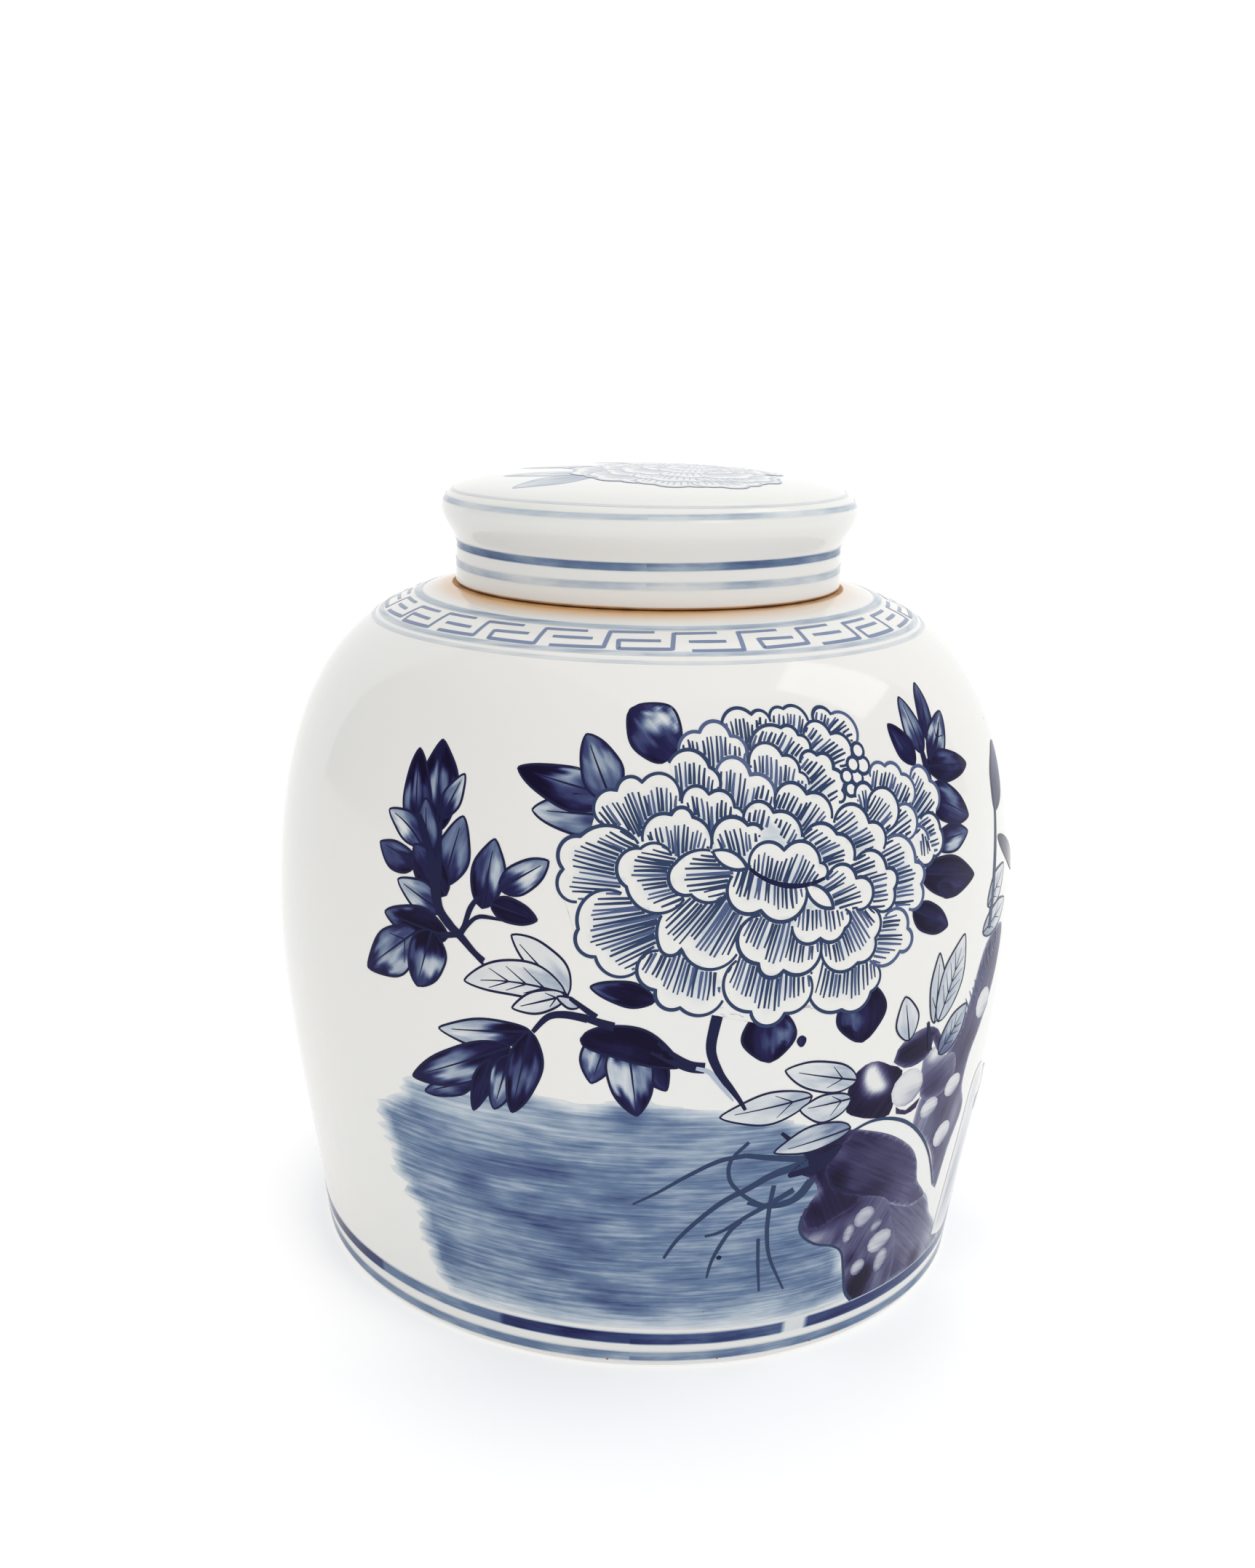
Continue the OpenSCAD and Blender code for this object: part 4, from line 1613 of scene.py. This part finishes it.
roots = [
    newStroke(
        [(27, 62.5), (23, 58), (23, 53), (26, 49), (30, 46), (34, 44.5), (40, 45.5), (44, 50)],
        (0.9, 1.1),
    ),
    newStroke(
        [(8, 31.5), (11, 36.5), (16, 42), (22, 47), (28, 50), (34, 53), (43, 55)], (0.7, 1.2, 1.6, 2.4),
    ),
    newStroke([(26.5, 59), (20, 58), (13, 54.5), (6, 50), (0, 46.5)], (1.3, 1.0, 0.5)),
    newStroke([(42, 56), (34, 57.5), (26.5, 59)], (1.8, 1.2)),
    newStroke([(18, 37.5), (22, 38.5), (28, 42), (33, 44.5), (40, 48)], (0.7, 1.2, 1.6)),
    newStroke([(19.3, 25.5), (20.5, 31), (24, 38), (27, 41)], (0.5, 1.0, 1.1)),
    newStroke([(34.5, 50), (34, 43), (34.3, 36), (36, 29), (41, 19.5)], (1.2, 1.0, 0.5)),
    newStroke([(32, 35.5), (32.8, 28), (34, 20)], (0.9, 0.8, 0.5)),
    newStroke([(35, 64), (39, 60.5), (43, 57.5), (46, 55)], (0.8, 1.6, 2.4), ink=0),
    newStroke([(28, 46), (33, 44.5), (38, 44.5), (42, 46), (45, 50)], (0.8, 1.8, 2.0)),
    newStroke([(38, 52), (42, 53.5), (47, 54.5), (52, 58)], (1.0, 4.4, 4.0, 1.0), ink=0),
]
rootLines = Painting("roots", onWall, wallStretch, inks)
for root in roots:
    paintLine(rootLines, smoothLine(root["line"]), root["widths"], root.get("ink", 1), 0.076)
paintLine(rootLines, [(21.5, 31), (22.1, 31.2), (22.7, 31)], (0.8, 1.3, 0.8), 0, 0.076)
rootLines.finish("jar")

lowRightLeaves = finer(
    [
        newLeaf((42, 72.5), (19.5, 69.5), (4.2, 3.6), (0.22, 0.13, 0.12, 0.1), veins=1),
        newLeaf((54, 74.5), (34.5, 80), (4.0, 3.8), (0.22, 0.15, 0.12, 0.1), veins=1),
        newLeaf((54, 62), (33.5, 59), (2.6, 4.2), (0.42, 0.2, 0.24, 0.2)),
        newLeaf((53, 70), (39, 69.5), (4.6, 2.6), (0.24, 0.16, 0.14, 0.12), veins=1),
        newLeaf((78.5, 83), (79, 100.5), (2.8, 2.8), (0.2, 0.14, 0.14, 0.12), veins=1),
        newLeaf((80, 83), (90, 102.5), (4.8, 4.6), (0.25, 0.18, 0.2, 0.18), veins=4),
        newLeaf((69.5, 81), (67, 92.5), (3.6, 3.6), (0.22, 0.14, 0.16, 0.14), veins=0),
        newLeaf((82, 74), (93, 84), (4.0, 4.0), (0.5, 0.25, 0.3, 0.25), veins=3),
        # out towards the right edge
        newLeaf((103, 106), (118, 113), (3.6, 3.4), (0.3, 0.15, 0.15, 0.12), veins=2),
        newLeaf((100, 100), (118, 104), (3.2, 3.4), (0.3, 0.2, 0.15, 0.12), veins=2),
    ],
    line=0.55, edge=0.05,
) + [
    newLeaf((113.5, 121), (140, 105), (2.6, 2.6), (0.8, 0.8, 0.8, 0.7)),
    newLeaf((113, 128), (127, 143), (4.4, 4.6), (0.8, 0.6, 0.75, 0.6)),
]
lowRightStems = [
    newStroke([(104, 100), (108, 112), (112, 124), (116, 134)], (2.2, 1.8, 1.2), ink=1),
    newStroke([(76, 84), (77, 80), (78, 76)], (1.0, 1.6)),
]
paintLeaves("lowRightLeaves", lowRightLeaves, lowRightStems, base=0.08)
print("water and rock painted")

# the lid's spray and the unseen side


def rosette(centre, radius, dice, rows):
    # a flower seen from the front: rows of scalloped petals from the outside in
    petals = []
    for count, reach, deep in rows:
        start = dice.uniform(0, 6.28)
        # the heart sits above the middle, so the near petals show more of themselves
        ca = centre[0] + radius * (1 - reach) * 0.12
        cb = centre[1] + radius * (1 - reach) * 0.36
        for k in range(count):
            middle = start + 2 * math.pi * k / count + dice.uniform(-0.16, 0.16)
            half = math.pi / count * dice.uniform(1.15, 1.4)
            rim = radius * reach * dice.uniform(0.88, 1.07)

            def place(angle, share):
                return (ca + rim * share * math.cos(angle), cb + rim * share * math.sin(angle))

            petals.append({
                "root": (ca + radius * deep * math.cos(middle), cb + radius * deep * math.sin(middle)),
                "from": place(middle - half, 0.84),
                "rim": [
                    (*place(middle - half * 0.36, 1.0), 0.30),
                    (*place(middle + half * 0.38, 0.99), 0.26),
                    (*place(middle + half, 0.84), 0.32),
                ],
            })
    return petals


fullRows = [(9, 1.0, 0.35), (8, 0.82, 0.25), (7, 0.63, 0.15), (5, 0.44, 0.05), (3, 0.25, -0.02)]
budRows = [(5, 1.0, 0.1), (3, 0.62, 0.0)]

backLook = dict(peonyLook, dice=9, seedsAfter=0, centre=(212, 128), reach=40)
backPetals = rosette(backLook["centre"], 28, random.Random(5), fullRows)
paintBloom(("backPeonyWhite", "backPeonyLines"), backPetals, [], backLook)
budLook = dict(peonyLook, dice=10, seedsAfter=0, centre=(168, 152), reach=20)
budPetals = rosette(budLook["centre"], 8.5, random.Random(8), budRows)
paintBloom(("backBudWhite", "backBudLines"), budPetals, [], budLook)

backLeaves = [
    newLeaf((192, 124), (169, 127), (4.6, 4.2), (0.92, 0.4, 0.5, 0.8)),
    newLeaf((194, 116), (176, 106), (4.6, 4.8), (0.92, 0.55, 0.3, 0.8)),
    newLeaf((206, 106), (196, 87), (5.0, 4.6), (0.95, 0.4, 0.6, 0.9)),
    newLeaf((222, 106), (229, 88), (4.8, 5.0), (0.95, 0.6, 0.35, 0.9)),
    newLeaf((232, 116), (255, 108), (5.0, 4.6), (0.92, 0.35, 0.55, 0.85)),
    newLeaf((234, 134), (256, 143), (4.8, 4.6), (0.9, 0.5, 0.3, 0.85)),
    newLeaf((222, 148), (233, 166), (4.6, 4.8), (0.85, 0.3, 0.5, 0.8)),
    newLeaf((199, 146), (188, 162), (4.6, 4.6), (0.85, 0.5, 0.35, 0.8)),
    newLeaf((168, 147), (157, 158), (3.2, 3.0), (0.9, 0.5, 0.4, 0.8)),
    newLeaf((168, 147), (180, 157), (3.0, 3.2), (0.9, 0.4, 0.5, 0.8)),
    newLeaf((171, 120), (153, 130), (4.2, 4.2), (0.9, 0.4, 0.55, 0.85)),
    newLeaf((175, 102), (158, 96), (4.0, 4.4), (0.9, 0.6, 0.35, 0.85)),
]
backStems = [
    newStroke(
        [(212, 104), (206, 88), (190, 72), (165, 58), (140, 50), (118, 47)], (2.0, 2.4, 2.8, 3.4, 4.2),
    ),
    newStroke([(188, 71), (179, 92), (172, 118), (168, 146)], (2.2, 1.8, 1.5, 1.6)),
]
paintLeaves("backLeaves", backLeaves, backStems)

backPaleLeaves = finer(
    [
        newLeaf((166, 58), (150, 76), (4.4, 4.4), (0.22, 0.12, 0.14, 0.1), veins=3),
        newLeaf((166, 58), (170, 80), (3.8, 3.8), (0.22, 0.14, 0.12, 0.1), veins=2),
        newLeaf((148, 52), (160, 36), (3.8, 3.8), (0.24, 0.14, 0.12, 0.1), veins=2),
        newLeaf((146, 52), (143, 31), (3.4, 3.6), (0.24, 0.12, 0.14, 0.1), veins=2),
        newLeaf((205, 86), (224, 76), (3.8, 3.8), (0.22, 0.12, 0.12, 0.1), veins=3),
        newLeaf((194, 75), (207, 60), (3.8, 4.2), (0.22, 0.12, 0.14, 0.1), veins=3),
    ],
    line=0.6, edge=0.05,
)
paintLeaves("backPaleLeaves", backPaleLeaves, [], base=0.1)

backGround = Painting("backGround", onWall, wallStretch, [waterWash])
paintWash(backGround, {
    "outline": [
        (118, 11), (160, 11), (205, 11), (250, 11), (266, 14), (252, 18), (262, 22), (240, 26), (246, 31),
        (222, 33), (190, 36), (160, 38), (136, 36), (122, 32),
    ],
    "ragged": 1.6, "dice": 31, "step": 2.0, "base": 0.36, "fade": 3.6, "rimTone": 0.2, "cell": 2.0,
    "blobs": [
        (150, 20, 18, 5, 0.14), (200, 26, 22, 3, -0.12), (215, 16, 20, 3, 0.12), (245, 24, 12, 4, -0.12),
    ],
    "lift": 0.015,
})
backGround.finish("jar")

backRock = Painting("backRock", onWall, wallStretch, [rockWash])
paintWash(backRock, {
    "outline": [
        (112, 10), (110, 24), (114, 38), (112, 50), (119, 58), (128, 54), (136, 56), (142, 48), (139, 38),
        (146, 30), (143, 20), (150, 10),
    ],
    "base": 0.44, "fade": 1.4, "rimTone": 0.8, "lean": -60, "lift": 0.026,
    "blobs": [(118, 44, 5, 6, 0.28), (130, 50, 4, 3, -0.16), (126, 30, 5, 8, -0.14), (140, 16, 6, 5, 0.22),
              (116, 18, 4, 8, 0.2)],
})
backStones = [
    (123, 49, 3.6, 2.8, 0.14), (133, 40, 4.0, 3.2, 0.16), (120, 31, 3, 3.6, 0.18),
    (134, 22, 4.2, 3.2, 0.16), (122, 17, 2.6, 2.4, 0.2),
]
for a, b, ra, rb, tone in backStones:
    paintStone(backRock, (a, b), (ra, rb), tone, 0.04)
backRock.finish("jar")

# the lid's spray is drawn in the palest ink, so it reads faint: a painted highlight that stands in for the
# bright light falling on the lid's top
lidPaintedHighlightLook = dict(
    peonyLook, dice=14, seedsAfter=0, centre=(9, -12), reach=40, outline=0.8, hatch=0.6, spacing=1.9,
    outlineInk=4, hatchInk=4, lift=0.1, tint=0.12,
)
lidPetals = rosette(lidPaintedHighlightLook["centre"], 27, random.Random(15), fullRows)
paintBloom(("lidPeonyWhite", "lidPeonyLines"), lidPetals, [], lidPaintedHighlightLook, "lid", onLid, noStretch)
# faint leaf tones and the palest ink on the lid: painted highlight of the light on the lid's top
lidLeaves = finer(
    [
        newLeaf((-14, -24), (-34, -33), (5.4, 5.2), (0.28, 0.18, 0.21, 0.25)),
        newLeaf((-16, -20), (-38, -12), (4.0, 3.6), (0.25, 0.14, 0.18, 0.21)),
        newLeaf((-15, -2), (-35, 9), (4.4, 4.2), (0.25, 0.15, 0.13, 0.21)),
        newLeaf((-4, 12), (-18, 29), (4.4, 4.4), (0.25, 0.14, 0.17, 0.21)),
        newLeaf((18, 13), (27, 31), (4.2, 4.2), (0.24, 0.15, 0.13, 0.21)),
        newLeaf((5, 14), (6, 36), (4.0, 4.0), (0.24, 0.13, 0.15, 0.21)),
    ],
    ink=4, edge=0.1,
)
lidStems = [newStroke([(-14, -18), (-26, 2), (-40, 14)], (1.6, 1.4, 0.8), ink=4)]
paintLeaves("lidLeaves", lidLeaves, lidStems, "lid", onLid, noStretch)
print("lid and far side painted")

# key border and rings

keyBorder = {
    "units": 26,
    "low": 180.8,
    "middle": 184.1,
    "high": 187.4,
    "line": 1.15,
}


def straightLine(corners, step=0.5):
    line = []
    for (a0, b0), (a1, b1) in zip(corners, corners[1:]):
        n = max(int(math.hypot(a1 - a0, b1 - b0) / step), 1)
        line += [(a0 + (a1 - a0) * i / n, b0 + (b1 - b0) * i / n) for i in range(n)]
    return line + [corners[-1]]


def paintKeys():
    v = keyBorder
    dice = random.Random(21)
    keys = Painting("keyBorder", onWall, wallStretch, inks)
    pitch = 2 * math.pi * bodyR / v["units"]
    for k in range(v["units"]):
        a = -9 + k * pitch + dice.uniform(-0.8, 0.8)
        low = v["low"] + dice.uniform(-0.25, 0.3)
        middle = v["middle"] + dice.uniform(-0.3, 0.3)
        high = v["high"] + dice.uniform(-0.3, 0.4)
        foot = a + pitch * dice.uniform(0.76, 0.82)
        top = foot + dice.uniform(0.3, 1.5)
        bar = [(a + dice.uniform(13, 15.5), middle + dice.uniform(-0.2, 0.4)), (a + 0.4, middle)]
        rest = [(a + 0.8, low), (foot, low + dice.uniform(-0.1, 0.5)), (top, high), (top + 16, high + 0.2)]
        if k % 2 == 0:
            strokes = [bar + rest]
        else:
            strokes = [bar, rest]
        for stroke in strokes:
            paintLine(keys, straightLine(stroke), (v["line"] * 0.9, v["line"], v["line"] * 0.85), 3, 0.06)
    keys.finish("jar")


paintKeys()

jarRings = [
    # run up the wall, width, tone, seed
    (8.2, 3.6, 0.66, 1),
    (3.0, 2.8, 0.42, 2),
    (176.6, 1.2, 0.13, 3),
    (179.3, 1.7, 0.2, 4),
    (190.1, 2.5, 0.25, 5),
]
rings = Painting("jarRings", onWall, wallStretch, [ringWash])
for place, width, tone, seed in jarRings:
    gaps = [(43, 50, 0.15), (-80, -35, 0.7)] if seed == 1 else []
    paintRing(rings, wallRows, wallRuns, place, width, tone, seed, gaps=gaps)
rings.finish("jar")


# rusty grit that stuck to the foot in the kiln
grit = Painting("footGrit", onWall, wallStretch, [linePaint("rust", (0.30, 0.11, 0.05))])
gritSpots = [
    (-33, 1.9, 0.5), (-6, 1.8, 0.6), (24, 1.9, 0.6), (52, 2.0, 0.7), (60, 2.3, 0.8), (-60, 2.1, 0.5),
    (150, 1.9, 0.6), (-170, 2.0, 0.6),
]
for a, b, size in gritSpots:
    spot = [(a - size / 2, b), (a, b + 0.1), (a + size / 2, b)]
    paintLine(grit, spot, (size * 0.5, size, size * 0.4), 0, 0.05)
grit.finish("jar")


def runAtHeight(rows, height):
    for low, high in zip(rows, rows[1:]):
        if (low[2] - height) * (high[2] - height) <= 0 and low[2] != high[2]:
            return low[0] + (high[0] - low[0]) * (low[2] - height) / (low[2] - high[2])
    return rows[-1][0]


lidRings = [
    # height, width, tone, seed
    (199.8, 1.8, 0.17, 6),
    (202.1, 0.9, 0.10, 7),
    (187.5, 2.4, 0.44, 8),
    (182.6, 2.2, 0.20, 9),
]
skirtRings = Painting("lidRings", onLid, noStretch, [ringWash])
for height, width, tone, seed in lidRings:
    paintRing(skirtRings, lidRows, lidRuns, runAtHeight(lidRows, height), width, tone, seed, swing=0.4)
skirtRings.finish("lid")
print("borders painted")
